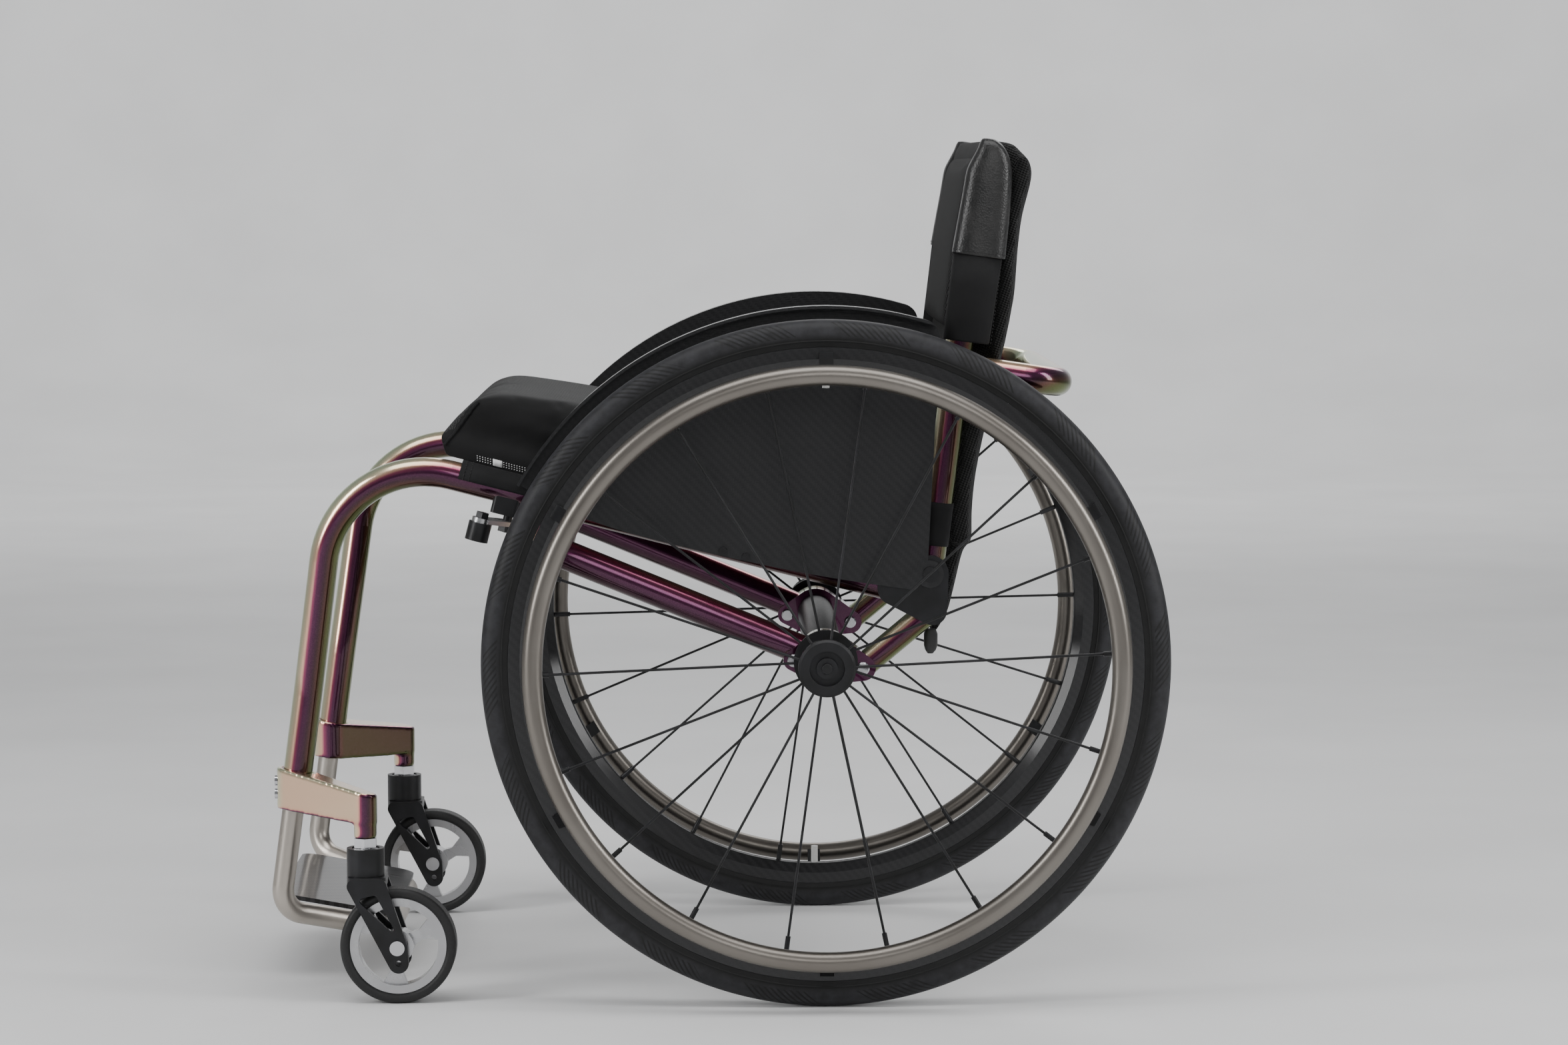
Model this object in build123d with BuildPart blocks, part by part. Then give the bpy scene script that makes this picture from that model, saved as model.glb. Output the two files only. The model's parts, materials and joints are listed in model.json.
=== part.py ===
from build123d import *
import math
import os

os.makedirs("parts", exist_ok=True)

# A rigid-frame manual wheelchair that faces -Y. X = 0 is its middle plane, and Z = 0 is the floor.
# Lengths are millimetres. The (y, z) points below are measured along Y from the rear axle.

# Driving dimensions
axle_y = 94.85  # rear axle behind the origin
wheel_x = 262.0  # rear wheel's middle plane
side_x = 198.0  # seat tubes and back posts
front_x = 174.0  # front tubes at the caster arms
caster_x = 233.0
running_gap = 0.05  # radial clearance of a shaft or slide
cloth_gap = 0.4  # between soft pieces and their neighbours

# Rear wheels
tyre_r = 295.0
tyre_width = 25.0
tyre_wall = 3.0
rim_hook_r = 271.5
rim_bed_r = 266.0
rim_inner_r = 252.5
rim_width = 22.0
rim_wall = 2.0
spoke_count = 18
spoke_r = 1.15
nipple_r = 2.2
nipple_length = 17.0
spoke_phase = 2.0
handrim_r = 249.4
handrim_tube_r = 8.8
handrim_offset = 45.0  # handrim's plane outboard of the wheel's
tab_count = 6
valve_r = 3.2
valve_length = 26.0

# Hubs and quick-release axles
pin_r = 6.35
hub_barrel_r = 17.0
hub_outer_r = 24.5
hub_inner_r = 27.5
hub_outer_x = 35.0  # outer face of the hub, outboard of the wheel's plane
hub_inner_x = -26.0
flange_width = 4.0
bearing_r = 14.0
bearing_width = 8.0
recess_r = 15.0
recess_depth = 5.0
pin_head_r = 9.0
button_r = 4.5
button_travel = 3.0

# Frame tubes
tube_r = 12.7
tube_wall = 3.1
lower_tube_r = 13.0
rear_tube_r = 11.0
cross_tube_r = 10.0
seat_slope = 14.4  # degrees
front_lean = 7.83
bend_point = (-420.8, 478.9)
bend_r = 90.0
neck_r = 150.0
seat_rear_y = 64.0
neck_z = 268.0
front_end_z = 160.0
axle_tube_r = 17.0
axle_tube_wall = 3.8
axle_tube_end = 222.0
clamp_width = 30.0

# Backrest
pivot = (91.0, 368.0)
back_lean = 7.4
back_fold = 50.0  # how far the back folds forward
post_r = 12.3
post_length = 350.0
cheek = 4.5
cap_size = (29.0, 45.0)
cap_length = 101.0
sleeve_size = (27.0, 40.0)
sleeve_length = 116.0
bar_r = 12.5

# Seat
sling_thickness = 2.5
cushion_width = 368.0
guard_thickness = 2.5
fender_gap = 8.0
fender_reach = 22.0

# Casters
caster_r = 50.0
caster_width = 24.0
caster_rim_r = 41.5
caster_trail = 28.0
stem_y = -397.0
stem_r = 6.0
crown_r = 16.2
crown_height = 32.0
crown_gap = 2.5  # between the crown and the caster's tyre
stem_nut_r = 10.7
nut_height = 8.5
leg_thickness = 5.0
leg_gap = 2.5
hub_r = 13.7
small_pin_r = 4.0

# Footrest
foot_tube_r = 9.5
foot_corner_z = 71.0
foot_rear = (112.0, -385.0, 44.5)
plate_half_width = 118.0
plate_length = 106.0
plate_thickness = 4.0
plate_slope = 10.0
plate_front = (-484.0, 76.8)
foot_travel = 30.0
foot_insert = 72.0  # how far the footrest's legs go up into the front tubes

# Derived dimensions
axle_z = tyre_r
caster_z = caster_r
crown_z = caster_z + caster_r + crown_gap
crown_top = crown_z + crown_height
boss_z = crown_top + nut_height
back_angle = 90 - back_lean
guard_x = side_x + max(post_r + cheek, tube_r + sling_thickness) + cloth_gap
fender_r = tyre_r + fender_gap
strut_end = (93.0, axle_z + 41)
SIDES = (("left", 1), ("right", -1))


def finish(piece, name):
    """Label a finished piece and write it as a STEP file."""
    piece.part.label = name
    export_step(piece.part, "parts/" + name + ".step")


def side_plane(x):
    """Plane across the chair at x, with local axes along Y from the axle and along Z."""
    return Plane(origin=(x, axle_y, 0), x_dir=(0, 1, 0), z_dir=(1, 0, 0))


def section(x, y, z, sx):
    """Plane through an axle, with local x outboard along it and local y up."""
    return Plane(origin=(x, axle_y + y, z), x_dir=(sx, 0, 0), z_dir=(0, -sx, 0))


def cross_axis(y, z):
    """Axis along X through a point of the side view."""
    return Axis((0, axle_y + y, z), (1, 0, 0))


def point(x, y, z):
    """A point in space, with y measured from the axle."""
    return Vector(x, axle_y + y, z)


def along(start, angle, distance):
    """A point of the side view at a distance from another."""
    turn = math.radians(angle)
    return (start[0] + distance * math.cos(turn), start[1] + distance * math.sin(turn))


def seat_z(y):
    """Height of the seat tube's centre line."""
    return bend_point[1] - (y - bend_point[0]) * math.tan(math.radians(seat_slope))


def front_y(z):
    """Place of the front tube's centre line."""
    return bend_point[0] - (bend_point[1] - z) * math.tan(math.radians(front_lean))


def back_plane(x):
    """Side plane in the backrest's lean: local x to the rear, local y up the post from the pivot."""
    lean = math.radians(back_lean)
    return Plane(
        origin=point(x, *pivot),
        x_dir=(0, math.cos(lean), -math.sin(lean)),
        z_dir=(1, 0, 0),
    )


def post_plane(x, height):
    """Plane square to a back post, with local x across the chair and local y to the rear."""
    lean = math.radians(back_lean)
    base = point(x, *pivot) + Vector(0, math.sin(lean), math.cos(lean)) * height
    return Plane(origin=base, x_dir=(1, 0, 0), z_dir=(0, math.sin(lean), math.cos(lean)))


def tube(path, radius, inner=0.0, mode=Mode.ADD):
    """Round tube or bar along a wire, for use inside a part block."""
    with BuildSketch(Plane(path @ 0, z_dir=path % 0)) as ring:
        Circle(radius)
        if inner:
            Circle(inner, mode=Mode.SUBTRACT)
    sweep(ring.sketch, path=path, mode=mode)


def straight_tube(start, end, radius, inner=0.0, mode=Mode.ADD):
    """Straight tube between two points in space."""
    with BuildLine() as run:
        Line(start, end)
    tube(run.wire(), radius, inner, mode)


def disc(x, y, z, radius, depth, inner=0.0, mode=Mode.ADD):
    """Round disc, rod or ring from x along X, through the side view's (y, z)."""
    with BuildSketch(side_plane(x)) as face:
        with Locations((y, z)):
            Circle(radius)
            if inner:
                Circle(inner, mode=Mode.SUBTRACT)
    extrude(face.sketch, amount=depth, mode=mode)


def seat_bar(sx, mode):
    """The outside of a seat tube, as a solid bar for cutting what is welded to it."""
    straight_tube(
        point(sx * side_x, seat_rear_y, seat_z(seat_rear_y)),
        point(sx * side_x, -320, seat_z(-320)),
        tube_r,
        mode=mode,
    )


# ---------------------------------------------------------------- frame

with BuildPart() as main_tubes:
    for name, sx in SIDES:
        with BuildLine() as run:
            FilletPolyline(
                point(sx * side_x, seat_rear_y, seat_z(seat_rear_y)),
                point(sx * side_x, *bend_point),
                point(sx * front_x, front_y(neck_z), neck_z),
                point(sx * front_x, front_y(front_end_z), front_end_z),
                radius=(bend_r, neck_r),
            )
        tube(run.wire(), tube_r, tube_r - tube_wall)
finish(main_tubes, "main_tubes")

clamp_ear = (-27.0, axle_z - 2)
clamp_foot = (33.0, axle_z - 9)


def clamp_block(sx, mode=Mode.ADD):
    """Outside of the clamp that holds the axle tube to one side of the frame."""
    with BuildSketch(side_plane(sx * side_x)) as outline:
        with Locations((0, axle_z)):
            Circle(axle_tube_r + 6)
        with Locations(clamp_ear):
            Circle(9)
        with Locations(clamp_foot):
            Circle(rear_tube_r)
        make_hull()
    extrude(outline.sketch, amount=clamp_width / 2, both=True, mode=mode)


with BuildPart() as axle_clamps:
    for name, sx in SIDES:
        clamp_block(sx)
    disc(-wheel_x, 0, axle_z, axle_tube_r, 2 * wheel_x, mode=Mode.SUBTRACT)
    for hole in (clamp_ear, clamp_foot):
        disc(-wheel_x, *hole, 3, 2 * wheel_x, mode=Mode.SUBTRACT)
finish(axle_clamps, "axle_clamps")

with BuildPart() as lower_tubes:
    for name, sx in SIDES:
        with BuildLine() as run:
            FilletPolyline(
                point(sx * side_x, -246, seat_z(-246) - 6),
                point(sx * side_x, -238, axle_z + 95),
                point(sx * side_x, -4, axle_z - 1),
                radius=24,
            )
        tube(run.wire(), lower_tube_r, lower_tube_r - tube_wall)
        straight_tube(
            point(sx * side_x, *clamp_foot),
            point(sx * side_x, *strut_end),
            rear_tube_r,
            rear_tube_r - tube_wall,
        )
        seat_bar(sx, Mode.SUBTRACT)
        clamp_block(sx, Mode.SUBTRACT)
finish(lower_tubes, "lower_tubes")

with BuildPart() as axle_tube:
    disc(-axle_tube_end, 0, axle_z, axle_tube_r, 2 * axle_tube_end, axle_tube_r - axle_tube_wall)
finish(axle_tube, "axle_tube")

receiver_length = 48.0
receiver_flange = 3.0
receiver_bore = pin_r + running_gap
with BuildPart() as axle_receivers:
    for name, sx in SIDES:
        with BuildSketch(section(0, 0, axle_z, sx)) as profile:
            with Locations((axle_tube_end - receiver_length / 2, (axle_tube_r - axle_tube_wall) / 2)):
                Rectangle(receiver_length, axle_tube_r - axle_tube_wall)
            with Locations((axle_tube_end + receiver_flange / 2, axle_tube_r / 2)):
                Rectangle(receiver_flange, axle_tube_r)
            with Locations((axle_tube_end, receiver_bore / 2)):
                Rectangle(3 * receiver_length, receiver_bore, mode=Mode.SUBTRACT)
        revolve(axis=cross_axis(0, axle_z))
finish(axle_receivers, "axle_receivers")

with BuildPart() as clamp_bolts:
    for name, sx in SIDES:
        for hole in (clamp_ear, clamp_foot):
            disc(sx * side_x - clamp_width / 2, *hole, 3, clamp_width)
            for end in (-1, 1):
                disc(sx * side_x + end * clamp_width / 2, *hole, 5.5, end * 3.5)
    chamfer(clamp_bolts.edges().filter_by(GeomType.CIRCLE).group_by(SortBy.RADIUS)[-1], 1)
finish(clamp_bolts, "clamp_bolts")

cross_y = -296.0
with BuildPart() as cross_tube:
    disc(-side_x, cross_y, seat_z(cross_y), cross_tube_r, 2 * side_x, cross_tube_r - 2)
    for name, sx in SIDES:
        seat_bar(sx, Mode.SUBTRACT)
finish(cross_tube, "cross_tube")

# Brackets that carry the backrest: two cheeks on each post, with a web round the seat tube's end.
slot_half = post_r + cloth_gap
folded = back_angle + back_fold
flank = along(pivot, folded + 90, post_r + 0.9)
with BuildPart() as back_brackets:
    for name, sx in SIDES:
        with BuildSketch(side_plane(sx * side_x)) as outline:
            with Locations(pivot):
                Circle(16)
            with Locations((seat_rear_y - 4, seat_z(seat_rear_y - 4))):
                Circle(tube_r + 1.8)
            with Locations(strut_end):
                Circle(rear_tube_r + 1.5)
            make_hull()
        extrude(amount=slot_half + cheek, both=True)
        with BuildSketch(side_plane(sx * side_x)) as slot:
            with BuildLine():
                Polyline(
                    pivot,
                    flank,
                    along(flank, folded, 60),
                    (pivot[0] + 60, pivot[1] + 90),
                    (pivot[0] + 60, pivot[1]),
                    close=True,
                )
            make_face()
            with Locations(pivot):
                Circle(post_r + 1.2)
        extrude(amount=slot_half, both=True, mode=Mode.SUBTRACT)
        seat_bar(sx, Mode.SUBTRACT)
        straight_tube(
            point(sx * side_x, *clamp_foot),
            point(sx * side_x, *strut_end),
            rear_tube_r,
            mode=Mode.SUBTRACT,
        )
    disc(-wheel_x, *pivot, small_pin_r, 2 * wheel_x, mode=Mode.SUBTRACT)
finish(back_brackets, "back_brackets")

# Side guards: flat panels with a flange that curves over the tyre.
guard_rim = fender_r + guard_thickness
guard_front = along((0, axle_z), 150, guard_rim)
guard_rear = along((0, axle_z), 71, guard_rim)
screw_places = [(y, seat_z(y) - 5) for y in (-68, -88)]
with BuildPart() as side_guards:
    for name, sx in SIDES:
        with BuildSketch(side_plane(sx * guard_x)) as panel:
            with BuildLine():
                CenterArc((0, axle_z), guard_rim, 71, 79)
                Spline(
                    guard_front,
                    (-206, 417),
                    (-137, 396),
                    (31, 361),
                    (pivot[0] - 12, pivot[1] - 14),
                )
                Polyline(
                    (pivot[0] - 12, pivot[1] - 14),
                    (pivot[0] - 2, pivot[1] + 10),
                    guard_rear,
                )
            make_face()
            fillet(panel.vertices().sort_by(Axis.Y)[-1], 16)
            with Locations(pivot):
                Circle(12)
        extrude(amount=sx * guard_thickness)
        with BuildSketch(side_plane(sx * guard_x)) as band:
            add(panel.sketch_local)
            with Locations((0, axle_z)):
                Circle(fender_r, mode=Mode.SUBTRACT)
        extrude(amount=sx * fender_reach)
        for hole in screw_places:
            disc(sx * guard_x, *hole, 2, sx * guard_thickness, mode=Mode.SUBTRACT)
        disc(sx * guard_x, *pivot, small_pin_r, sx * guard_thickness, mode=Mode.SUBTRACT)
finish(side_guards, "side_guards")

with BuildPart() as guard_screws:
    for name, sx in SIDES:
        for hole in screw_places:
            disc(sx * (side_x + 8), *hole, 4, sx * (guard_x - side_x - 8))
            disc(sx * guard_x, *hole, 2, sx * guard_thickness)
            disc(sx * (guard_x + guard_thickness), *hole, 3.6, sx * 2.2)
        seat_bar(sx, Mode.SUBTRACT)
finish(guard_screws, "guard_screws")

pivot_inner = side_x - slot_half - cheek
with BuildPart() as pivot_bolts:
    for name, sx in SIDES:
        grip = guard_x + guard_thickness - pivot_inner
        disc(sx * pivot_inner, *pivot, small_pin_r, sx * grip)
        disc(sx * pivot_inner, *pivot, 7, -sx * 4)
        disc(sx * (pivot_inner + grip), *pivot, 6.5, sx * 3.2)
finish(pivot_bolts, "pivot_bolts")

# Seat: a sling that laps over both tubes, and a cushion on it.
seat_turn = math.radians(seat_slope)
seat_dir = Vector(0, math.cos(seat_turn), -math.sin(seat_turn))
sling_front = -316.0
sling_rear = 36.0
sling_r = tube_r + sling_thickness
sling_run = (sling_rear - sling_front) / math.cos(seat_turn)
sling_plane = Plane(
    origin=point(0, sling_front, seat_z(sling_front)), x_dir=(-1, 0, 0), z_dir=seat_dir
)
with BuildPart() as seat_sling:
    with BuildSketch(sling_plane) as profile:
        with Locations((0, tube_r + sling_thickness / 2)):
            Rectangle(2 * side_x, sling_thickness)
        with Locations((-side_x, 0), (side_x, 0)):
            Circle(sling_r)
        with Locations((0, 1 - sling_r)):
            Rectangle(2 * side_x + 3 * sling_r, 2 * sling_r, mode=Mode.SUBTRACT)
        with Locations((0, 0)):
            Rectangle(2 * side_x, 2 * tube_r, mode=Mode.SUBTRACT)
        with Locations((-side_x, 0), (side_x, 0)):
            Circle(tube_r, mode=Mode.SUBTRACT)
    extrude(amount=sling_run)
finish(seat_sling, "seat_sling")

cushion_lift = (sling_r + cloth_gap) / math.cos(seat_turn)
cushion_rear = 30.0
cutout_depth = 46.0
cutout_width = 2 * (side_x - post_r - 2)
with BuildPart() as seat_cushion:
    with BuildSketch(side_plane(0)) as profile:
        with BuildLine():
            Polyline(
                (-330, seat_z(-330) + cushion_lift),
                (-337, seat_z(-330) + cushion_lift + 14),
                (-306, seat_z(-306) + cushion_lift + 52),
                (-286, seat_z(-286) + cushion_lift + 58),
                (-211, seat_z(-211) + cushion_lift + 66),
                (cushion_rear, seat_z(cushion_rear) + cushion_lift + 48),
                (cushion_rear, seat_z(cushion_rear) + cushion_lift),
                close=True,
            )
        make_face()
    extrude(amount=side_x - 2, both=True)
    with BuildSketch(Plane(origin=point(0, cushion_rear, 0))) as corners:
        Rectangle(3 * side_x, 2 * cutout_depth)
        Rectangle(cutout_width, 2 * cutout_depth, mode=Mode.SUBTRACT)
    extrude(amount=2 * tyre_r, mode=Mode.SUBTRACT)
finish(seat_cushion, "seat_cushion")

# ---------------------------------------------------------------- caster arms and stems

arm_tube_y = front_y(182)
arm_height = 24.0
arm_front = arm_tube_y - tube_r - 4.5
arm_bolt_r = 4.5
arm_bolt_heights = (30.5, 42.0)  # above the stem's boss


def arm_bolts(mode=Mode.ADD):
    """Heads of the bolts that close the arms round the front tubes."""
    for name, sx in SIDES:
        for height in arm_bolt_heights:
            start = point(sx * front_x, arm_front - 1.5, boss_z + height)
            with BuildSketch(Plane(origin=start, x_dir=(1, 0, 0), z_dir=(0, 1, 0))) as head:
                Circle(arm_bolt_r)
            extrude(head.sketch, amount=4, mode=mode)


with BuildPart() as caster_arms:
    for name, sx in SIDES:
        with BuildSketch(Plane(origin=(0, axle_y, boss_z))) as plan:
            with Locations((sx * front_x, arm_tube_y)):
                Circle(tube_r + 4.5)
            with Locations((sx * caster_x, stem_y)):
                Circle(10.5)
            make_hull()
        extrude(amount=60)
    with BuildSketch(side_plane(0)) as profile:
        with BuildLine():
            Polyline(
                (arm_tube_y - 40, boss_z + 19.5),
                (stem_y - 14, boss_z + 13),
                (stem_y + 14, boss_z + 13),
                (stem_y + 14, boss_z + 13 + arm_height),
                (arm_tube_y - 40, boss_z + 59),
                close=True,
            )
        make_face()
    extrude(amount=wheel_x, both=True, mode=Mode.INTERSECT)
    for name, sx in SIDES:
        with BuildSketch(Plane(origin=(sx * caster_x, axle_y + stem_y, boss_z))) as boss:
            Circle(10)
        extrude(amount=13 + arm_height / 2)
        straight_tube(
            point(sx * front_x, front_y(140), 140),
            point(sx * front_x, front_y(220), 220),
            tube_r,
            mode=Mode.SUBTRACT,
        )
        with BuildSketch(Plane(origin=(sx * caster_x, axle_y + stem_y, boss_z))) as bore:
            Circle(stem_r)
        extrude(amount=30, mode=Mode.SUBTRACT)
    arm_bolts(Mode.SUBTRACT)
finish(caster_arms, "caster_arms")

stem_tip = crown_z + 3.5
with BuildPart() as caster_stems:
    for name, sx in SIDES:
        with BuildSketch(Plane(origin=(sx * caster_x, axle_y + stem_y, stem_tip))) as rod:
            Circle(stem_r)
        extrude(amount=boss_z + 30 - stem_tip)
        with BuildSketch(Plane(origin=(sx * caster_x, axle_y + stem_y, crown_top + cloth_gap))) as nut:
            RegularPolygon(stem_nut_r, 6)
        extrude(amount=nut_height - cloth_gap)
    arm_bolts()
finish(caster_stems, "caster_stems")

stem_bearing_r = 12.0
bearing_levels = (crown_z + 4, crown_top - 9)
with BuildPart() as stem_bearings:
    for name, sx in SIDES:
        for level in bearing_levels:
            with BuildSketch(Plane(origin=(sx * caster_x, axle_y + stem_y, level))) as ring:
                Circle(stem_bearing_r)
                Circle(stem_r, mode=Mode.SUBTRACT)
            extrude(amount=bearing_width)
finish(stem_bearings, "stem_bearings")

# ---------------------------------------------------------------- casters

axle_at = (stem_y + caster_trail, caster_z)
leg_inner = caster_width / 2 + leg_gap
spare_hole = (axle_at[0] + 1, caster_z - 13.5)
for name, sx in SIDES:
    x = sx * caster_x
    with BuildPart() as caster_fork:
        with BuildSketch(Plane(origin=(x, axle_y + stem_y, crown_z))) as crown:
            Circle(crown_r)
        extrude(amount=crown_height)
        with BuildSketch(Plane(origin=(x, axle_y + stem_y, crown_z))) as bridge:
            with Locations((0, 2)):
                RectangleRounded(2 * (leg_inner + leg_thickness), 2 * crown_r, 6)
        extrude(amount=8)
        for end in (-1, 1):
            with BuildSketch(side_plane(x + end * leg_inner)) as leg:
                with Locations((stem_y - 8, crown_z + 1), (stem_y + 12, crown_z + 1)):
                    Circle(7)
                with Locations(axle_at, spare_hole):
                    Circle(8.7)
                make_hull()
            extrude(amount=end * leg_thickness)
        for end in (-1, 1):
            with BuildSketch(side_plane(x + end * leg_inner)) as window:
                with Locations((stem_y - 1, crown_z - 12), (stem_y + 8, crown_z - 10)):
                    Circle(3)
                with Locations((axle_at[0] - 5, caster_z + 16)):
                    Circle(2)
                make_hull()
            extrude(amount=end * leg_thickness, mode=Mode.SUBTRACT)
        disc(x - 30, *axle_at, small_pin_r, 60, mode=Mode.SUBTRACT)
        disc(x - 30, *spare_hole, 2.6, 60, mode=Mode.SUBTRACT)
        with BuildSketch(Plane(origin=(x, axle_y + stem_y, crown_z + 3))) as bore:
            Circle(stem_bearing_r + running_gap)
        extrude(amount=crown_height, mode=Mode.SUBTRACT)
    finish(caster_fork, name + "_caster_fork")

    with BuildPart() as axle_bolt:
        disc(x - leg_inner - leg_thickness, *axle_at, small_pin_r, 2 * (leg_inner + leg_thickness))
        for end in (-1, 1):
            disc(x + end * (leg_inner + leg_thickness), *axle_at, 6.4, end * 3)
            disc(x + end * (caster_width / 2 - 0.7), *axle_at, 5.6, end * (leg_gap + 0.7))
    finish(axle_bolt, name + "_caster_axle_bolt")

    with BuildPart() as caster_bearings:
        for end in (-1, 1):
            disc(
                x + end * (caster_width / 2 - 1),
                *axle_at,
                10.5,
                -end * 7,
                small_pin_r + running_gap,
            )
    finish(caster_bearings, name + "_caster_bearings")

    with BuildPart() as caster_rim:
        disc(x - 9, *axle_at, caster_rim_r, 18, caster_rim_r - 7)
        disc(x - caster_width / 2 + 1, *axle_at, hub_r, caster_width - 2)
        with BuildSketch(side_plane(x)) as arms:
            with Locations(axle_at):
                with PolarLocations(0, 3, start_angle=25):
                    Polygon(
                        (hub_r - 3, -6),
                        (hub_r + 8, -4.5),
                        (caster_rim_r - 5, -12),
                        (caster_rim_r - 5, 12),
                        (hub_r + 8, 4.5),
                        (hub_r - 3, 6),
                        align=None,
                    )
        extrude(amount=4.5, both=True)
        disc(x - 20, *axle_at, 8.5, 40, mode=Mode.SUBTRACT)
        for end in (-1, 1):
            disc(x + end * (caster_width / 2 - 1), *axle_at, 10.5, -end * 7, mode=Mode.SUBTRACT)
    finish(caster_rim, name + "_caster_rim")

    with BuildPart() as caster_tyre:
        with BuildSketch(section(x, axle_at[0], caster_z, sx)) as profile:
            with Locations((0, (caster_rim_r + caster_r) / 2)):
                RectangleRounded(caster_width, caster_r - caster_rim_r, 3.9)
            with Locations((0, caster_rim_r + 1)):
                Rectangle(18, 2)
        revolve(axis=cross_axis(*axle_at))
    finish(caster_tyre, name + "_caster_tyre")

# ---------------------------------------------------------------- rear wheels

bed = rim_bed_r - rim_wall
for name, sx in SIDES:
    wheel_axis = cross_axis(0, axle_z)
    wheel_plane = section(sx * wheel_x, 0, axle_z, sx)
    half = tyre_width / 2
    seat_half = rim_width / 2 - rim_wall

    with BuildPart() as tyre:
        with BuildSketch(wheel_plane) as profile:
            with Locations((0, tyre_r - half)):
                Circle(half)
            with Locations((0, (rim_bed_r + tyre_r - half) / 2)):
                Rectangle(2 * seat_half, tyre_r - half - rim_bed_r)
            with Locations((0, tyre_r - half)):
                Circle(half - tyre_wall, mode=Mode.SUBTRACT)
            with Locations((0, rim_bed_r)):
                Rectangle(2 * seat_half - 2 * tyre_wall, 16, mode=Mode.SUBTRACT)
        revolve(axis=wheel_axis)
    finish(tyre, name + "_tyre")

    with BuildPart() as rim:
        with BuildSketch(wheel_plane) as profile:
            with BuildLine():
                Polyline(
                    (-rim_width / 2, rim_hook_r),
                    (-rim_width / 2, rim_inner_r + 9),
                    (-5, rim_inner_r),
                    (5, rim_inner_r),
                    (rim_width / 2, rim_inner_r + 9),
                    (rim_width / 2, rim_hook_r),
                    (seat_half, rim_hook_r),
                    (seat_half, rim_bed_r),
                    (-seat_half, rim_bed_r),
                    (-seat_half, rim_hook_r),
                    close=True,
                )
            make_face()
            fillet(profile.vertices().group_by(Axis.Y)[0], 3)
            with BuildLine():
                Polyline(
                    (-seat_half, bed),
                    (-seat_half, rim_inner_r + 10),
                    (-4, rim_inner_r + 2),
                    (4, rim_inner_r + 2),
                    (seat_half, rim_inner_r + 10),
                    (seat_half, bed),
                    close=True,
                )
            make_face(mode=Mode.SUBTRACT)
        revolve(axis=wheel_axis)
    finish(rim, name + "_rim")

    with BuildPart() as hub:
        with BuildSketch(wheel_plane) as profile:
            with BuildLine():
                Polyline(
                    (hub_inner_x, 0),
                    (hub_inner_x, hub_barrel_r),
                    (hub_inner_x + 5, hub_barrel_r),
                    (hub_inner_x + 5, hub_inner_r),
                    (hub_inner_x + 5 + flange_width, hub_inner_r),
                    (hub_inner_x + 5 + flange_width, hub_barrel_r),
                    (hub_outer_x - 12, hub_barrel_r),
                    (hub_outer_x - 9, hub_outer_r),
                    (hub_outer_x - 2, hub_outer_r),
                    (hub_outer_x, hub_outer_r - 2),
                    (hub_outer_x, 0),
                    close=True,
                )
            make_face()
        revolve(axis=wheel_axis)
        disc(sx * (wheel_x - 60), 0, axle_z, 9, sx * 120, mode=Mode.SUBTRACT)
        disc(
            sx * (wheel_x + hub_outer_x), 0, axle_z, recess_r, -sx * recess_depth, mode=Mode.SUBTRACT
        )
        disc(
            sx * (wheel_x + hub_outer_x - recess_depth),
            0,
            axle_z,
            bearing_r,
            -sx * bearing_width,
            mode=Mode.SUBTRACT,
        )
        disc(
            sx * (wheel_x + hub_inner_x), 0, axle_z, bearing_r, sx * bearing_width, mode=Mode.SUBTRACT
        )
    finish(hub, name + "_hub")

    with BuildPart() as hub_bearings:
        inner_bore = pin_r + running_gap
        disc(
            sx * (wheel_x + hub_outer_x - recess_depth),
            0,
            axle_z,
            bearing_r,
            -sx * bearing_width,
            inner_bore,
        )
        disc(sx * (wheel_x + hub_inner_x), 0, axle_z, bearing_r, sx * bearing_width, inner_bore)
    finish(hub_bearings, name + "_hub_bearings")

    with BuildPart() as spokes:
        for index in range(spoke_count):
            turn = math.radians(spoke_phase + index * 360 / spoke_count)
            outboard = index % 2 == 0
            hub_x = hub_outer_x - 6 if outboard else hub_inner_x + 7
            start_r = hub_outer_r - 3 if outboard else hub_inner_r - 3
            start = Vector(
                sx * (wheel_x + hub_x),
                axle_y + start_r * math.cos(turn),
                axle_z + start_r * math.sin(turn),
            )
            end = Vector(
                sx * wheel_x,
                axle_y + (rim_inner_r + 1.5) * math.cos(turn),
                axle_z + (rim_inner_r + 1.5) * math.sin(turn),
            )
            way = (end - start).normalized()
            with BuildSketch(Plane(start, z_dir=way)) as wire:
                Circle(spoke_r)
            extrude(amount=(end - start).length)
            with BuildSketch(Plane(end, z_dir=-way)) as nipple:
                Circle(nipple_r)
            extrude(amount=nipple_length)
    finish(spokes, name + "_spokes")

    with BuildPart() as handrim:
        with BuildSketch(section(sx * (wheel_x + handrim_offset), 0, axle_z, sx)) as profile:
            with Locations((0, handrim_r)):
                Circle(handrim_tube_r)
                Circle(handrim_tube_r - 2, mode=Mode.SUBTRACT)
        revolve(axis=wheel_axis)
    finish(handrim, name + "_handrim")

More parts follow.
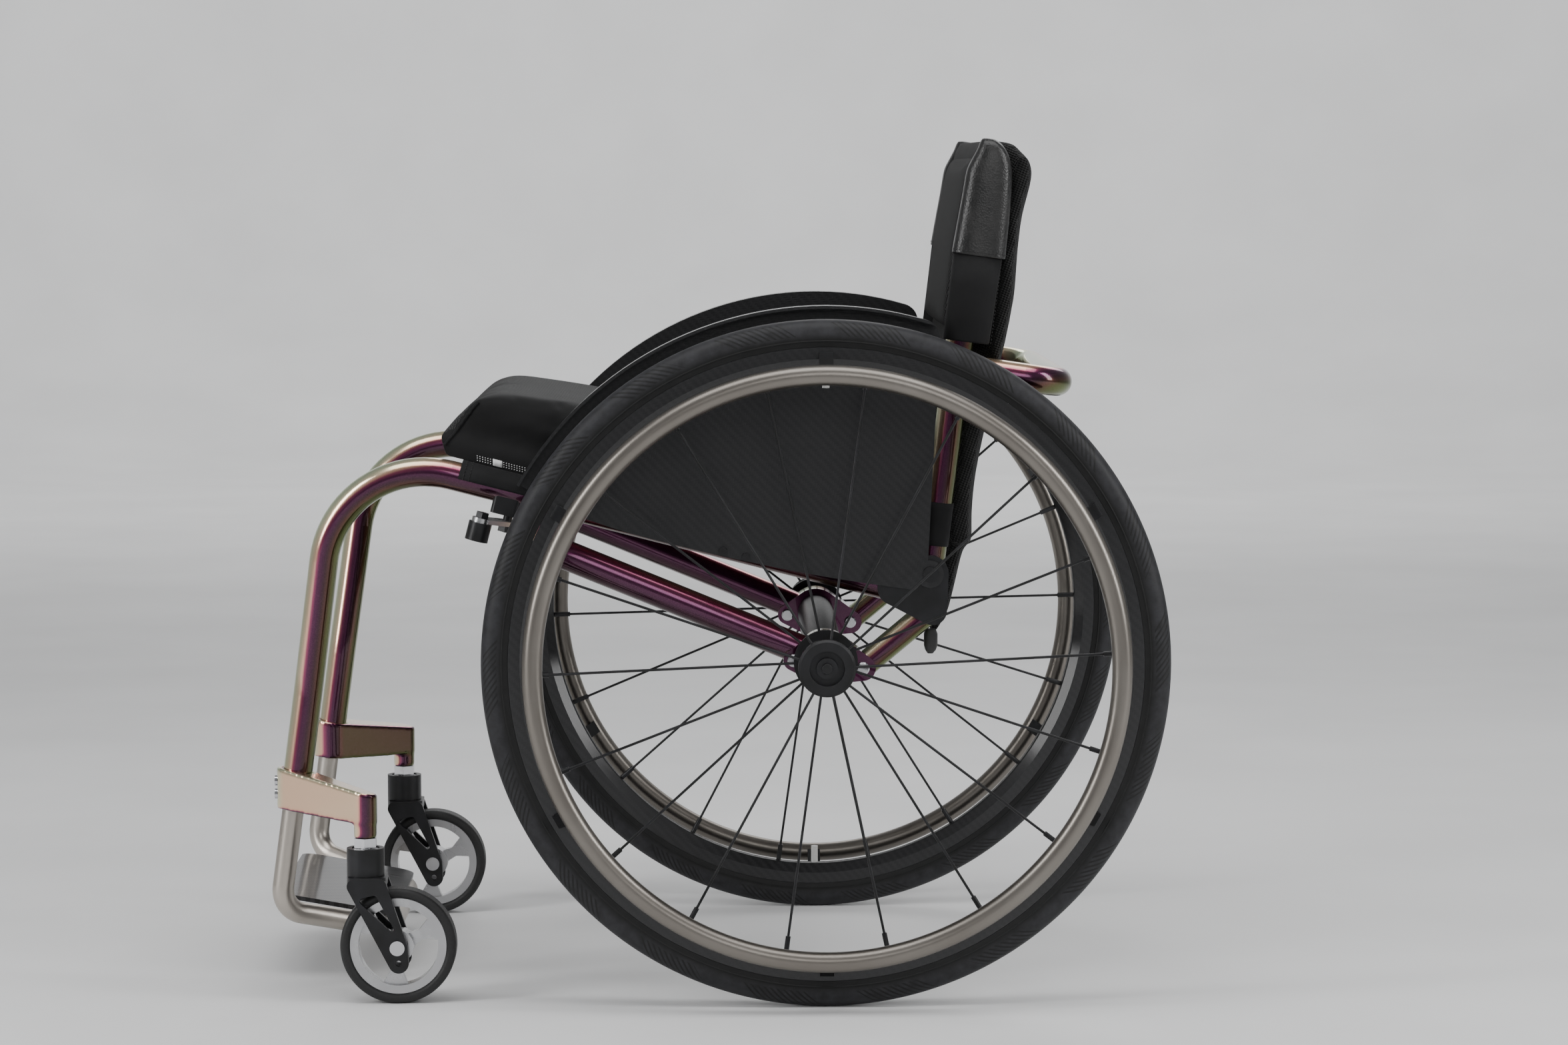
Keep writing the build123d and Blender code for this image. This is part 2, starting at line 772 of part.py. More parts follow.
    with BuildPart() as handrim_tabs:
        for index in range(tab_count):
            turn = index * 360 / tab_count - 90
            tab_plane = Plane(wheel_plane.origin, x_dir=(sx, 0, 0), z_dir=wheel_plane.z_dir)
            with BuildSketch(tab_plane.rotated((turn + 90, 0, 0))) as tab:
                with BuildLine():
                    Polyline(
                        (rim_width / 2, rim_inner_r + 15),
                        (rim_width / 2, rim_inner_r + 9.5),
                        (handrim_offset - handrim_tube_r, handrim_r - 4),
                        (handrim_offset, handrim_r - 2),
                        (handrim_offset, handrim_r + 2),
                        (handrim_offset - handrim_tube_r, handrim_r + 4),
                        close=True,
                    )
                make_face()
            extrude(amount=6, both=True)
        with BuildSketch(section(sx * (wheel_x + handrim_offset), 0, axle_z, sx)) as grip:
            with Locations((0, handrim_r)):
                Circle(handrim_tube_r)
        revolve(axis=wheel_axis, mode=Mode.SUBTRACT)
    finish(handrim_tabs, name + "_handrim_tabs")

    valve_way = sx
    with BuildPart() as valve:
        for radius, low, high in ((valve_r, 0, valve_length - 9), (1.5, -4, 1)):
            base = axle_z + valve_way * (rim_inner_r + rim_wall / 2 - low)
            with BuildSketch(
                Plane(origin=(sx * wheel_x, axle_y, base), z_dir=(0, 0, -valve_way))
            ) as stem:
                Circle(radius)
            extrude(amount=high - low)
    finish(valve, name + "_valve")

    with BuildPart() as axle_pin:
        tail = axle_tube_end - receiver_length + 4
        head_x = wheel_x + hub_outer_x - recess_depth + 0.3
        disc(sx * tail, 0, axle_z, pin_r, sx * (head_x - tail))
        disc(sx * head_x, 0, axle_z, pin_head_r, sx * 3)
        disc(sx * (head_x - 24), 0, axle_z, button_r + running_gap, sx * 30, mode=Mode.SUBTRACT)
    finish(axle_pin, name + "_axle_pin")

    with BuildPart() as release_button:
        disc(sx * (head_x - 18), 0, axle_z, button_r, sx * (18 + 3 + button_travel + 1))
        fillet(release_button.edges().filter_by(GeomType.CIRCLE), 0.8)
    finish(release_button, name + "_release_button")

# ---------------------------------------------------------------- brakes

brake_pivot = (202.0, -268.0)
shoe_at = (238.0, -288.0)
shoe_r = 10.0
shoe_height = 16.0
arm_thickness = 4.0
arm_drop = 26.0  # arm's top face below the seat tube's centre line
arm_base = arm_drop + arm_thickness
shoe_reach = (
    shoe_at[0] - brake_pivot[0],
    (shoe_at[1] - brake_pivot[1]) / math.cos(seat_turn),
)


def brake_plane(x, y, drop):
    """Plane square to the seat tube's upward side, below its centre line."""
    up = Vector(0, math.sin(seat_turn), math.cos(seat_turn))
    return Plane(origin=point(x, y, seat_z(y)) - up * drop, x_dir=(1, 0, 0), z_dir=up)


with BuildPart() as brake_clamps:
    for name, sx in SIDES:
        x, y = brake_pivot
        with BuildSketch(brake_plane(sx * side_x, y - 4, tube_r + 9)) as block:
            RectangleRounded(22, 24, 4)
        extrude(amount=tube_r + 4)
        seat_bar(sx, Mode.SUBTRACT)
        with BuildSketch(brake_plane(sx * x, y, arm_base + 3)) as bolt:
            Circle(small_pin_r)
        extrude(amount=arm_thickness + 10)
        with BuildSketch(brake_plane(sx * x, y, arm_base + 6)) as head:
            RegularPolygon(7, 6)
        extrude(amount=5.5)
finish(brake_clamps, "brake_clamps")

for name, sx in SIDES:
    with BuildPart() as brake_arm:
        with BuildSketch(brake_plane(sx * brake_pivot[0], brake_pivot[1], arm_base)) as link:
            Circle(9)
            with Locations((sx * shoe_reach[0], shoe_reach[1])):
                Circle(8)
            make_hull()
            Circle(small_pin_r + running_gap, mode=Mode.SUBTRACT)
            with Locations((sx * shoe_reach[0], shoe_reach[1])):
                Circle(3, mode=Mode.SUBTRACT)
        extrude(amount=arm_thickness)
    finish(brake_arm, name + "_brake_arm")

    with BuildPart() as brake_shoe:
        with BuildSketch(brake_plane(sx * shoe_at[0], shoe_at[1], arm_base + shoe_height)) as barrel:
            Circle(shoe_r)
        extrude(amount=shoe_height)
        with BuildSketch(brake_plane(sx * shoe_at[0], shoe_at[1], arm_base)) as stud:
            Circle(3)
        extrude(amount=arm_thickness + 2)
        with BuildSketch(brake_plane(sx * shoe_at[0], shoe_at[1], arm_drop)) as nut:
            RegularPolygon(6, 6)
        extrude(amount=5)
    finish(brake_shoe, name + "_brake_shoe")

# ---------------------------------------------------------------- footrest

foot_top = front_end_z + foot_insert
foot_corner = (front_y(foot_corner_z), foot_corner_z)
with BuildPart() as footrest_tube:
    with BuildLine() as run:
        FilletPolyline(
            point(front_x, front_y(foot_top), foot_top),
            point(front_x, *foot_corner),
            point(*foot_rear),
            point(-foot_rear[0], foot_rear[1], foot_rear[2]),
            point(-front_x, *foot_corner),
            point(-front_x, front_y(foot_top), foot_top),
            radius=(24, 34, 34, 24),
        )
    tube(run.wire(), foot_tube_r, foot_tube_r - 2)
finish(footrest_tube, "footrest_tube")

plate_turn = math.radians(plate_slope)
plate_up = Vector(0, math.sin(plate_turn), math.cos(plate_turn))
plate_mid = Vector(0, math.cos(plate_turn), -math.sin(plate_turn)) * (plate_length / 2)
plate_plane = Plane(
    origin=point(0, *plate_front) + plate_mid - plate_up * plate_thickness,
    x_dir=(1, 0, 0),
    z_dir=plate_up,
)
plate_screws = (-70, 70)
screw_pocket = 1.8


def screw_heads(height, mode=Mode.ADD):
    """Discs in the footplate's countersunk pockets."""
    for x in plate_screws:
        floor = plate_plane.offset(plate_thickness - screw_pocket)
        with BuildSketch(Plane(floor.from_local_coords((x, 38, 0)), z_dir=plate_up)) as head:
            Circle(5)
        extrude(head.sketch, amount=height, mode=mode)


with BuildPart() as footplate:
    with BuildSketch(plate_plane) as outline:
        RectangleRounded(2 * plate_half_width, plate_length, 16)
    extrude(amount=plate_thickness)
    add(footrest_tube.part, mode=Mode.SUBTRACT)
    screw_heads(screw_pocket, Mode.SUBTRACT)
finish(footplate, "footplate")

with BuildPart() as footplate_screws:
    screw_heads(screw_pocket - 0.2)
finish(footplate_screws, "footplate_screws")

# ---------------------------------------------------------------- backrest

with BuildPart() as back_posts:
    for name, sx in SIDES:
        with BuildSketch(post_plane(sx * side_x, 0)) as tube_ring:
            Circle(post_r)
        extrude(amount=post_length)
        disc(sx * side_x - post_r, *pivot, post_r, 2 * post_r)
        with BuildSketch(post_plane(sx * side_x, 18)) as bore:
            Circle(post_r - 2.2)
        extrude(amount=post_length, mode=Mode.SUBTRACT)
    disc(-wheel_x, *pivot, small_pin_r + running_gap, 2 * wheel_x, mode=Mode.SUBTRACT)
finish(back_posts, "back_posts")

bar_start = (117.0, 545.0)
bar_corner = (204.2, 532.0)
with BuildPart() as rigidizer_bar:
    with BuildLine() as run:
        FilletPolyline(
            point(side_x, *bar_start),
            point(side_x, *bar_corner),
            point(-side_x, *bar_corner),
            point(-side_x, *bar_start),
            radius=32,
        )
    tube(run.wire(), bar_r, bar_r - 2)
    for name, sx in SIDES:
        with BuildSketch(post_plane(sx * side_x, 0)) as post_cut:
            Circle(post_r)
        extrude(amount=post_length, mode=Mode.SUBTRACT)
    with BuildSketch(side_plane(0)) as front_cut:
        with Locations((bar_start[0] - 60, bar_start[1])):
            Rectangle(120, 80, rotation=-back_lean)
    extrude(amount=wheel_x, both=True, mode=Mode.SUBTRACT)
finish(rigidizer_bar, "rigidizer_bar")

# Upholstery, drawn in the backrest's plane: offset to the rear, then height above the pivot.
inner_half = side_x - cap_size[0] / 2 - 0.5
panel_half = side_x - 2
with BuildPart() as back_sling:
    with BuildSketch(back_plane(0)) as core:
        with Locations((12.6, 265)):
            Rectangle(33.2, 230)
    extrude(amount=inner_half, both=True)
    with BuildSketch(back_plane(0)) as rear:
        with BuildLine():
            Polyline((29.3, 372), (29.3, 165), (13.8, 130), (13.8, 26), (33, 26))
            Spline((33, 26), (31, 132), (38, 190), (41, 243), (40, 330), (34, 372), (29.3, 372))
        make_face()
    extrude(amount=panel_half, both=True)
    with BuildSketch(back_plane(0)) as tail:
        with BuildLine():
            Polyline((13.8, 26), (28, 26), (25, 8), (20, -38), (11, -60), (7, -58), (13.8, -10), close=True)
        make_face()
    extrude(amount=side_x - slot_half - cheek - 4, both=True)
    with BuildLine() as bar_run:
        FilletPolyline(
            point(side_x, *bar_start),
            point(side_x, *bar_corner),
            point(-side_x, *bar_corner),
            point(-side_x, *bar_start),
            radius=32,
        )
    tube(bar_run.wire(), bar_r + cloth_gap, mode=Mode.SUBTRACT)
finish(back_sling, "back_sling")

with BuildPart() as back_cushion:
    with BuildSketch(back_plane(0)) as pad:
        with BuildLine():
            Polyline(
                (-4.4, 374),
                (-4.4, 206),
                (-14.5, 206),
                (-13.5, 292),
                (-11, 340),
                (-7.5, 374),
                close=True,
            )
        make_face()
    extrude(amount=inner_half - 1, both=True)
finish(back_cushion, "back_cushion")

cap_base = 277.0
with BuildPart() as post_caps:
    for name, sx in SIDES:
        with BuildSketch(post_plane(sx * side_x, cap_base)) as hem:
            with Locations((0, 6.7)):
                RectangleRounded(*cap_size, 13)
        with BuildSketch(post_plane(sx * side_x, cap_base + cap_length)) as crown:
            with Locations((0, 3)):
                RectangleRounded(cap_size[0] - 5, cap_size[1] - 19, 11)
        loft()
    for name, sx in SIDES:
        with BuildSketch(post_plane(sx * side_x, cap_base - 1)) as bore:
            Circle(post_r)
        extrude(amount=post_length - cap_base + 1, mode=Mode.SUBTRACT)
finish(post_caps, "post_caps")

strap_span = (24.0, 62.0)
sleeve_base = 202.0
with BuildPart() as post_sleeves:
    for name, sx in SIDES:
        with BuildSketch(post_plane(sx * side_x, sleeve_base)) as sleeve:
            with Locations((0, 5.5)):
                RectangleRounded(*sleeve_size, 12)
            Circle(post_r, mode=Mode.SUBTRACT)
        extrude(amount=cap_base - sleeve_base)
        with BuildSketch(post_plane(sx * side_x, strap_span[0])) as strap:
            Circle(post_r + 1.1)
            Circle(post_r, mode=Mode.SUBTRACT)
        extrude(amount=strap_span[1] - strap_span[0])
finish(post_sleeves, "post_sleeves")
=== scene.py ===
"""Looks of a rigid manual wheelchair: paint, carbon, rubber, cloth and metal on its frame."""

import json
import math
import bmesh
import bpy
from mathutils import Matrix, Vector
from mathutils.bvhtree import BVHTree


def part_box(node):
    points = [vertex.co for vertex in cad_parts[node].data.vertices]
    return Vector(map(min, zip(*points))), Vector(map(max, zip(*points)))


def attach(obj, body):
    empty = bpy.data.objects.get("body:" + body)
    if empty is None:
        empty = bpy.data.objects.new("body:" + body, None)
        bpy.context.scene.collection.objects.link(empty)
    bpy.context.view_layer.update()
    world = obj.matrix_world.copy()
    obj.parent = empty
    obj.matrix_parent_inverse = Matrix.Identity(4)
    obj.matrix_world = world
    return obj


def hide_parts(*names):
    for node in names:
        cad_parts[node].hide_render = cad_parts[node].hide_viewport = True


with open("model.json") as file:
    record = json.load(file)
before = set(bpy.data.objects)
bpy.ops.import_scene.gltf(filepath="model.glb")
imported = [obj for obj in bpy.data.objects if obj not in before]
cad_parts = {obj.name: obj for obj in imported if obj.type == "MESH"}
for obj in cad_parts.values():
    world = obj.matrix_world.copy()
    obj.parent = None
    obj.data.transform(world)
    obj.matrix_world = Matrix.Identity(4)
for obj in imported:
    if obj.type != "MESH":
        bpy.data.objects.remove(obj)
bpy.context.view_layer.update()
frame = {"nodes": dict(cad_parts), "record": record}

SIDES = (("left", 1), ("right", -1))


# ---------------------------------------------------------------- node helpers


class Shader:
    """A material with its Principled shader, and short calls for adding and linking nodes."""

    def __init__(self, name, color=(0.5, 0.5, 0.5), **sockets):
        self.material = bpy.data.materials.new(name)
        self.material.use_nodes = True
        self.tree = self.material.node_tree
        self.main = self.tree.nodes["Principled BSDF"]
        self.set("Base Color", (*color, 1.0))
        for socket, value in sockets.items():
            self.set(socket.replace("_", " "), value)

    def set(self, socket, value):
        self.main.inputs[socket].default_value = value

    def add(self, kind):
        return self.tree.nodes.new(kind)

    def link(self, source, target):
        self.tree.links.new(source, target)

    def feed(self, target, value):
        """Set an input to a number or colour, or link another node's output to it."""
        if isinstance(value, (int, float)):
            target.default_value = value
        elif isinstance(value, tuple):
            target.default_value = (*value, 1.0)
        else:
            self.link(value, target)

    def math(self, operation, *values):
        node = self.add("ShaderNodeMath")
        node.operation = operation
        for target, value in zip(node.inputs, values):
            self.feed(target, value)
        return node.outputs[0]

    def coords(self, output="Object"):
        return self.add("ShaderNodeTexCoord").outputs[output]

    def split(self, vector):
        node = self.add("ShaderNodeSeparateXYZ")
        self.link(vector, node.inputs[0])
        return node.outputs

    def noise(self, vector, scale, detail=3.0, roughness=0.5):
        node = self.add("ShaderNodeTexNoise")
        node.inputs["Scale"].default_value = scale
        node.inputs["Detail"].default_value = detail
        node.inputs["Roughness"].default_value = roughness
        self.link(vector, node.inputs["Vector"])
        return node.outputs["Fac"]

    def ramp(self, value, *stops):
        """Colours at places from 0 to 1, blended between them."""
        node = self.add("ShaderNodeValToRGB")
        elements = node.color_ramp.elements
        while len(elements) < len(stops):
            elements.new(0.5)
        for element, (place, color) in zip(elements, stops):
            element.position = place
            element.color = (*color, 1.0)
        self.link(value, node.inputs[0])
        return node.outputs[0]

    def mix(self, factor, first, second):
        """Blend two colours, which a colour Mix node keeps at its inputs 6 and 7."""
        node = self.add("ShaderNodeMix")
        node.data_type = "RGBA"
        for index, value in ((0, factor), (6, first), (7, second)):
            self.feed(node.inputs[index], value)
        return node.outputs[2]

    def range(self, value, low, high, to_low, to_high):
        node = self.add("ShaderNodeMapRange")
        for target, number in zip(node.inputs, (value, low, high, to_low, to_high)):
            self.feed(target, number)
        return node.outputs[0]

    def bump(self, height, strength, distance):
        node = self.add("ShaderNodeBump")
        node.inputs["Strength"].default_value = strength
        node.inputs["Distance"].default_value = distance
        self.link(height, node.inputs["Height"])
        self.link(node.outputs[0], self.main.inputs["Normal"])

    def color(self, output):
        self.link(output, self.main.inputs["Base Color"])

    def roughness(self, output):
        self.link(output, self.main.inputs["Roughness"])


def grey(value):
    return (value, value, value)


# ---------------------------------------------------------------- finishes


def shift_paint_with_painted_light():
    """Colour-shift paint, coloured by which way a face points: purple to the side, a painted cream
    highlight up and forward, and copper and green behind and below, partly the paint's own shift
    and partly painted shade.
    """
    s = Shader("shift_paint_with_painted_light", Metallic=0.9, Roughness=0.2, Coat_Weight=0.6)
    s.set("Coat Roughness", 0.03)
    normal = s.split(s.coords("Normal"))
    # Painted light: faces turned up and forward, towards the lights, get a painted cream highlight,
    # and faces turned back and down get darker painted shade.
    toward_light = s.math("MULTIPLY_ADD", normal[2], 0.66, s.math("MULTIPLY", normal[1], -0.75))
    drift = s.math("MULTIPLY", s.math("SUBTRACT", s.noise(s.coords(), 7.0, 2.0), 0.5), 0.16)
    # Ramp: painted shade at the low end, the paint's purple in the middle, and a painted cream
    # highlight at the high end.
    shade = s.ramp(
        s.math("MULTIPLY_ADD", s.math("ADD", toward_light, drift), 0.5, 0.5),
        (0.0, (0.100, 0.155, 0.012)),
        (0.15, (0.070, 0.092, 0.010)),
        (0.26, (0.080, 0.030, 0.012)),
        (0.37, (0.030, 0.008, 0.012)),
        (0.46, (0.050, 0.005, 0.034)),
        (0.55, (0.088, 0.010, 0.056)),
        (0.63, (0.300, 0.050, 0.110)),
        (0.69, (0.720, 0.420, 0.280)),
        (0.80, (0.820, 0.720, 0.480)),
        (0.92, (0.640, 0.720, 0.480)),
    )
    fleck = s.noise(s.coords(), 2600.0, 1.0)
    s.color(s.mix(s.range(fleck, 0.50, 0.66, 0.0, 0.16), shade, (0.50, 0.24, 0.34)))
    s.bump(s.noise(s.coords(), 900.0, 2.0), 0.04, 0.0002)
    return s.material


def satin_titanium(name="satin_titanium", tone=1.0):
    """Bead-blasted titanium with faint lines from handling."""
    s = Shader(name, Metallic=1.0)
    soft = s.noise(s.coords(), 14.0, 3.0)
    dull = (0.45 * tone, 0.41 * tone, 0.365 * tone)
    bright = (0.54 * tone, 0.50 * tone, 0.45 * tone)
    s.color(s.ramp(soft, (0.3, dull), (0.7, bright)))
    grain = s.noise(s.coords(), 1500.0, 2.0)
    s.roughness(s.range(grain, 0.3, 0.7, 0.28, 0.42))
    s.bump(grain, 0.12, 0.0001)
    return s.material


def black_anodised():
    """Black anodised aluminium, a little worn on its faces."""
    s = Shader("black_anodised", Metallic=0.35)
    cloud = s.noise(s.coords(), 40.0, 4.0)
    s.color(s.ramp(cloud, (0.35, grey(0.009)), (0.75, (0.019, 0.019, 0.022))))
    grain = s.noise(s.coords(), 1800.0, 2.0)
    s.roughness(s.range(grain, 0.3, 0.7, 0.30, 0.48))
    s.bump(grain, 0.10, 0.0001)
    return s.material


def polished_metal(name, color, roughness):
    """Bright machined or plated metal with fine turning marks."""
    s = Shader(name, color, Metallic=1.0)
    smear = s.noise(s.coords(), 60.0, 4.0)
    s.roughness(s.range(smear, 0.3, 0.7, roughness * 0.7, roughness * 1.6))
    s.bump(s.noise(s.coords(), 2200.0, 2.0), 0.05, 0.0001)
    return s.material


def carbon_weave(name, roughness, axes=(1, 2), light=0.022):
    """Twill carbon laminate under a clear coat, woven across two of the object's axes."""
    pitch = 0.0021
    s = Shader(name, Metallic=0.35, Coat_Weight=0.5)
    s.set("Coat Roughness", 0.12)
    place = s.split(s.coords())
    across = s.math("MULTIPLY", place[axes[0]], 1.0 / pitch)
    up = s.math("MULTIPLY", place[axes[1]], 1.0 / pitch)
    cell = s.math("ADD", s.math("FLOOR", across), s.math("FLOOR", up))
    warp = s.math("LESS_THAN", s.math("FRACT", s.math("MULTIPLY", cell, 0.25)), 0.49)
    weft = s.math("SUBTRACT", 1.0, warp)
    rise = s.math("ABSOLUTE", s.math("SUBTRACT", s.math("FRACT", across), 0.5))
    fall = s.math("ABSOLUTE", s.math("SUBTRACT", s.math("FRACT", up), 0.5))
    crown = s.math("ADD", s.math("MULTIPLY", warp, rise), s.math("MULTIPLY", weft, fall))
    s.color(s.mix(warp, (0.008, 0.008, 0.009), (light, light, light * 1.1)))
    s.roughness(s.math("MULTIPLY_ADD", warp, 0.08, roughness - 0.04))
    s.bump(s.math("SUBTRACT", 1.0, crown), 0.25, 0.0003)
    return s.material


def moulded_black(name="moulded_black", base=0.03, roughness=0.5):
    """Moulded plastic or hard rubber."""
    s = Shader(name)
    grain = s.noise(s.coords(), 700.0, 3.0)
    cloud = s.noise(s.coords(), 30.0, 3.0)
    s.color(s.ramp(cloud, (0.3, grey(base * 0.8)), (0.7, grey(base * 1.25))))
    s.roughness(s.range(grain, 0.3, 0.7, roughness - 0.07, roughness + 0.1))
    s.bump(grain, 0.15, 0.0002)
    return s.material


def clear_cap():
    """Clear plastic of the valve's cap, a little cloudy."""
    s = Shader("clear_cap", (0.9, 0.9, 0.88), Alpha=0.75)
    s.set("Transmission Weight", 0.5)
    s.roughness(s.range(s.noise(s.coords(), 500.0), 0.3, 0.7, 0.08, 0.2))
    return s.material


def coated_cloth():
    """Tightly woven coated cloth with a dull sheen."""
    base, thread = 0.006, 0.0007
    s = Shader("coated_cloth", Sheen_Weight=0.04)
    s.set("Sheen Roughness", 0.4)
    s.set("Specular IOR Level", 0.22)
    place = s.split(s.coords())
    turns = math.tau / thread
    across = s.math("SINE", s.math("MULTIPLY", s.math("ADD", place[0], place[1]), turns))
    up = s.math("SINE", s.math("MULTIPLY", place[2], turns))
    weave = s.math("MULTIPLY", across, up)
    cloud = s.noise(s.coords(), 22.0, 4.0)
    s.color(s.ramp(cloud, (0.3, grey(base * 0.75)), (0.72, (base * 1.7, base * 1.7, base * 1.8))))
    s.roughness(s.range(weave, -1.0, 1.0, 0.66, 0.8))
    s.bump(s.math("MULTIPLY_ADD", weave, 0.3, cloud), 0.25, 0.0006)
    return s.material


def spacer_mesh(name="spacer_mesh", base=0.008, pitch=0.0034):
    """Thick knitted mesh: rows of slanting cells, with painted shade darkening the holes between
    them.
    """
    s = Shader(name, Roughness=0.85, Sheen_Weight=0.06)
    s.set("Sheen Roughness", 0.5)
    s.set("Specular IOR Level", 0.2)
    turns = math.tau / pitch
    place = s.split(s.coords())
    normal = s.split(s.coords("Normal"))
    sideways = s.math("GREATER_THAN", s.math("ABSOLUTE", normal[0]), 0.7)
    lengthways = s.math("SUBTRACT", 1.0, sideways)
    depth = s.math("MULTIPLY", place[1], sideways)
    along = s.math("ADD", depth, s.math("MULTIPLY", place[0], lengthways))
    rows = s.math("ADD", along, s.math("MULTIPLY", place[2], 0.55))
    columns = s.math("SUBTRACT", place[2], s.math("MULTIPLY", along, 0.3))
    first = s.math("SINE", s.math("MULTIPLY", rows, turns))
    second = s.math("SINE", s.math("MULTIPLY", columns, turns))
    cells = s.math("MULTIPLY", first, second)
    shade = s.math("MULTIPLY_ADD", cells, 0.5, 0.5)
    # Painted shade: the holes between the cells are painted darker than the cells.
    s.color(s.ramp(shade, (0.2, grey(base * 0.3)), (0.7, grey(base * 2.2))))
    s.bump(cells, 0.8, 0.0012)
    return s.material


def soft_leather():
    """Grained black leather with creases, polished where it is rubbed."""
    s = Shader("soft_leather", Coat_Weight=0.1)
    s.set("Coat Roughness", 0.3)
    cells = s.add("ShaderNodeTexVoronoi")
    cells.inputs["Scale"].default_value = 620.0
    s.link(s.coords(), cells.inputs["Vector"])
    crease = s.noise(s.coords(), 55.0, 5.0, 0.6)
    s.color(s.ramp(crease, (0.35, grey(0.005)), (0.7, (0.015, 0.0145, 0.014))))
    s.roughness(s.range(crease, 0.3, 0.7, 0.3, 0.44))
    s.bump(s.math("MULTIPLY_ADD", cells.outputs["Distance"], 0.35, crease), 0.45, 0.0011)
    return s.material


def tyre_rubber():
    """Charcoal tyre: lighter worn crown, and slanting sipes in patches on its shoulders, painted
    darker as shade in their slits.
    """
    s = Shader("tyre_rubber")
    s.set("Specular IOR Level", 0.3)
    place = s.split(s.coords("UV"))
    turn, across = place[0], place[1]
    middle = s.math("ABSOLUTE", s.math("SUBTRACT", across, 0.5))
    crown = s.range(middle, 0.13, 0.19, 1.0, 0.0)
    past_crown = s.math("GREATER_THAN", middle, 0.055)
    shoulder = s.math("MULTIPLY", past_crown, s.math("LESS_THAN", middle, 0.155))
    slanted = s.math("MULTIPLY_ADD", turn, 18.0, s.math("MULTIPLY", middle, 1.6))
    patch = s.math("LESS_THAN", s.math("FRACT", slanted), 0.55)
    swept = s.math("MULTIPLY_ADD", middle, 0.09, turn)
    slits = s.math("GREATER_THAN", s.math("SINE", s.math("MULTIPLY", swept, math.tau * 310.0)), 0.2)
    sipes = s.math("MULTIPLY", s.math("MULTIPLY", shoulder, patch), slits)
    scuff = s.noise(s.coords(), 130.0, 5.0, 0.6)
    worn = s.ramp(scuff, (0.3, (0.012, 0.012, 0.013)), (0.75, (0.030, 0.030, 0.034)))
    wall = s.ramp(scuff, (0.3, grey(0.006)), (0.8, grey(0.011)))
    # The sipes are painted darker: painted shade in the slits, along with their bump.
    s.color(s.mix(sipes, s.mix(crown, wall, worn), grey(0.008)))
    s.roughness(s.math("MULTIPLY_ADD", crown, -0.06, s.range(scuff, 0.3, 0.7, 0.52, 0.66)))
    s.bump(s.math("MULTIPLY_ADD", sipes, -1.0, s.math("MULTIPLY", scuff, 0.12)), 0.5, 0.0008)
    return s.material


PAINT = shift_paint_with_painted_light()
TITANIUM = satin_titanium()
HANDRIM_METAL = satin_titanium("handrim_metal", 0.45)
ANODISED = black_anodised()
SILVER = polished_metal("machined_silver", (0.50, 0.50, 0.51), 0.26)
CHROME = polished_metal("chrome", (0.58, 0.58, 0.60), 0.14)
CARBON = carbon_weave("carbon_panel", 0.46, light=0.012)
PLATE_CARBON = carbon_weave("carbon_plate", 0.42, axes=(0, 1))
PLASTIC = moulded_black()
CLEAR = clear_cap()
CLOTH = coated_cloth()
KNIT = spacer_mesh()
PANEL_KNIT = spacer_mesh("panel_knit", 0.020, 0.0022)
LEATHER = soft_leather()
TYRE = tyre_rubber()
CASTER_RUBBER = moulded_black("caster_rubber", 0.008, 0.55)
THREAD = moulded_black("thread", 0.02, 0.7)
WHITE_PRINT = moulded_black("white_print", 0.72, 0.6)

SLOT_FINISH = {
    "frame_paint": PAINT,
    "satin_titanium": TITANIUM,
    "black_anodised": ANODISED,
    "silver_metal": SILVER,
    "chrome_steel": CHROME,
    "carbon": CARBON,
    "tyre_rubber": CASTER_RUBBER,
    "caster_rubber": CASTER_RUBBER,
    "seat_fabric": CLOTH,
    "mesh_fabric": KNIT,
    "leather": LEATHER,
    "clear_plastic": CLEAR,
}


# ---------------------------------------------------------------- mesh helpers

WHEEL_LOW, WHEEL_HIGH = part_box("left_tyre")
AXLE_Y = (WHEEL_LOW.y + WHEEL_HIGH.y) / 2
LEAN = math.radians(7.4)
SLOPE = math.radians(14.4)
POST_PIVOT = Vector((0.0, AXLE_Y + 0.091, 0.368))
SEAT_BEND_AHEAD, SEAT_BEND_HEIGHT = 0.4208, 0.4789
SIDE_X = 0.198
DARK_END = 0.008
CLOTH_STEPS = 20
CUSHION_HALF = 0.1995


def centre_of(node):
    low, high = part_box(node)
    return (low + high) / 2


def on_post(x, rear, height):
    """Point by a back post: millimetres to the rear of its axis and up from its pivot."""
    along = Vector((0.0, math.cos(LEAN), -math.sin(LEAN))) * rear
    up = Vector((0.0, math.sin(LEAN), math.cos(LEAN))) * height
    return POST_PIVOT + (along + up) * 0.001 + Vector((x, 0.0, 0.0))


def on_seat(x, y, lift):
    """Point over the seat: metres behind the axle, and above the seat tubes' centre line."""
    drop = (y + SEAT_BEND_AHEAD) * math.tan(SLOPE)
    return Vector((x, AXLE_Y + y, SEAT_BEND_HEIGHT - drop + lift))


def linked(name, mesh, *finishes):
    piece = bpy.data.objects.new(name, mesh)
    bpy.context.scene.collection.objects.link(piece)
    for finish in finishes:
        mesh.materials.append(finish)
    return piece


def dress(piece, *finishes):
    """Give a piece its finishes in place of any it has."""
    piece.data.materials.clear()
    for finish in finishes:
        piece.data.materials.append(finish)


def settle(piece, body, covers=()):
    """Give a finished piece to its body, and hide the nodes it covers."""
    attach(piece, body)
    if covers:
        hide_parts(*covers)


def smooth_mesh(work, name, sharp=40.0):
    """Mesh from a bmesh, its normals outward and its edges smooth below an angle."""
    bmesh.ops.recalc_face_normals(work, faces=work.faces)
    mesh = bpy.data.meshes.new(name)
    for face in work.faces:
        face.smooth = True
    work.to_mesh(mesh)
    work.free()
    mesh.set_sharp_from_angle(angle=math.radians(sharp))
    return mesh


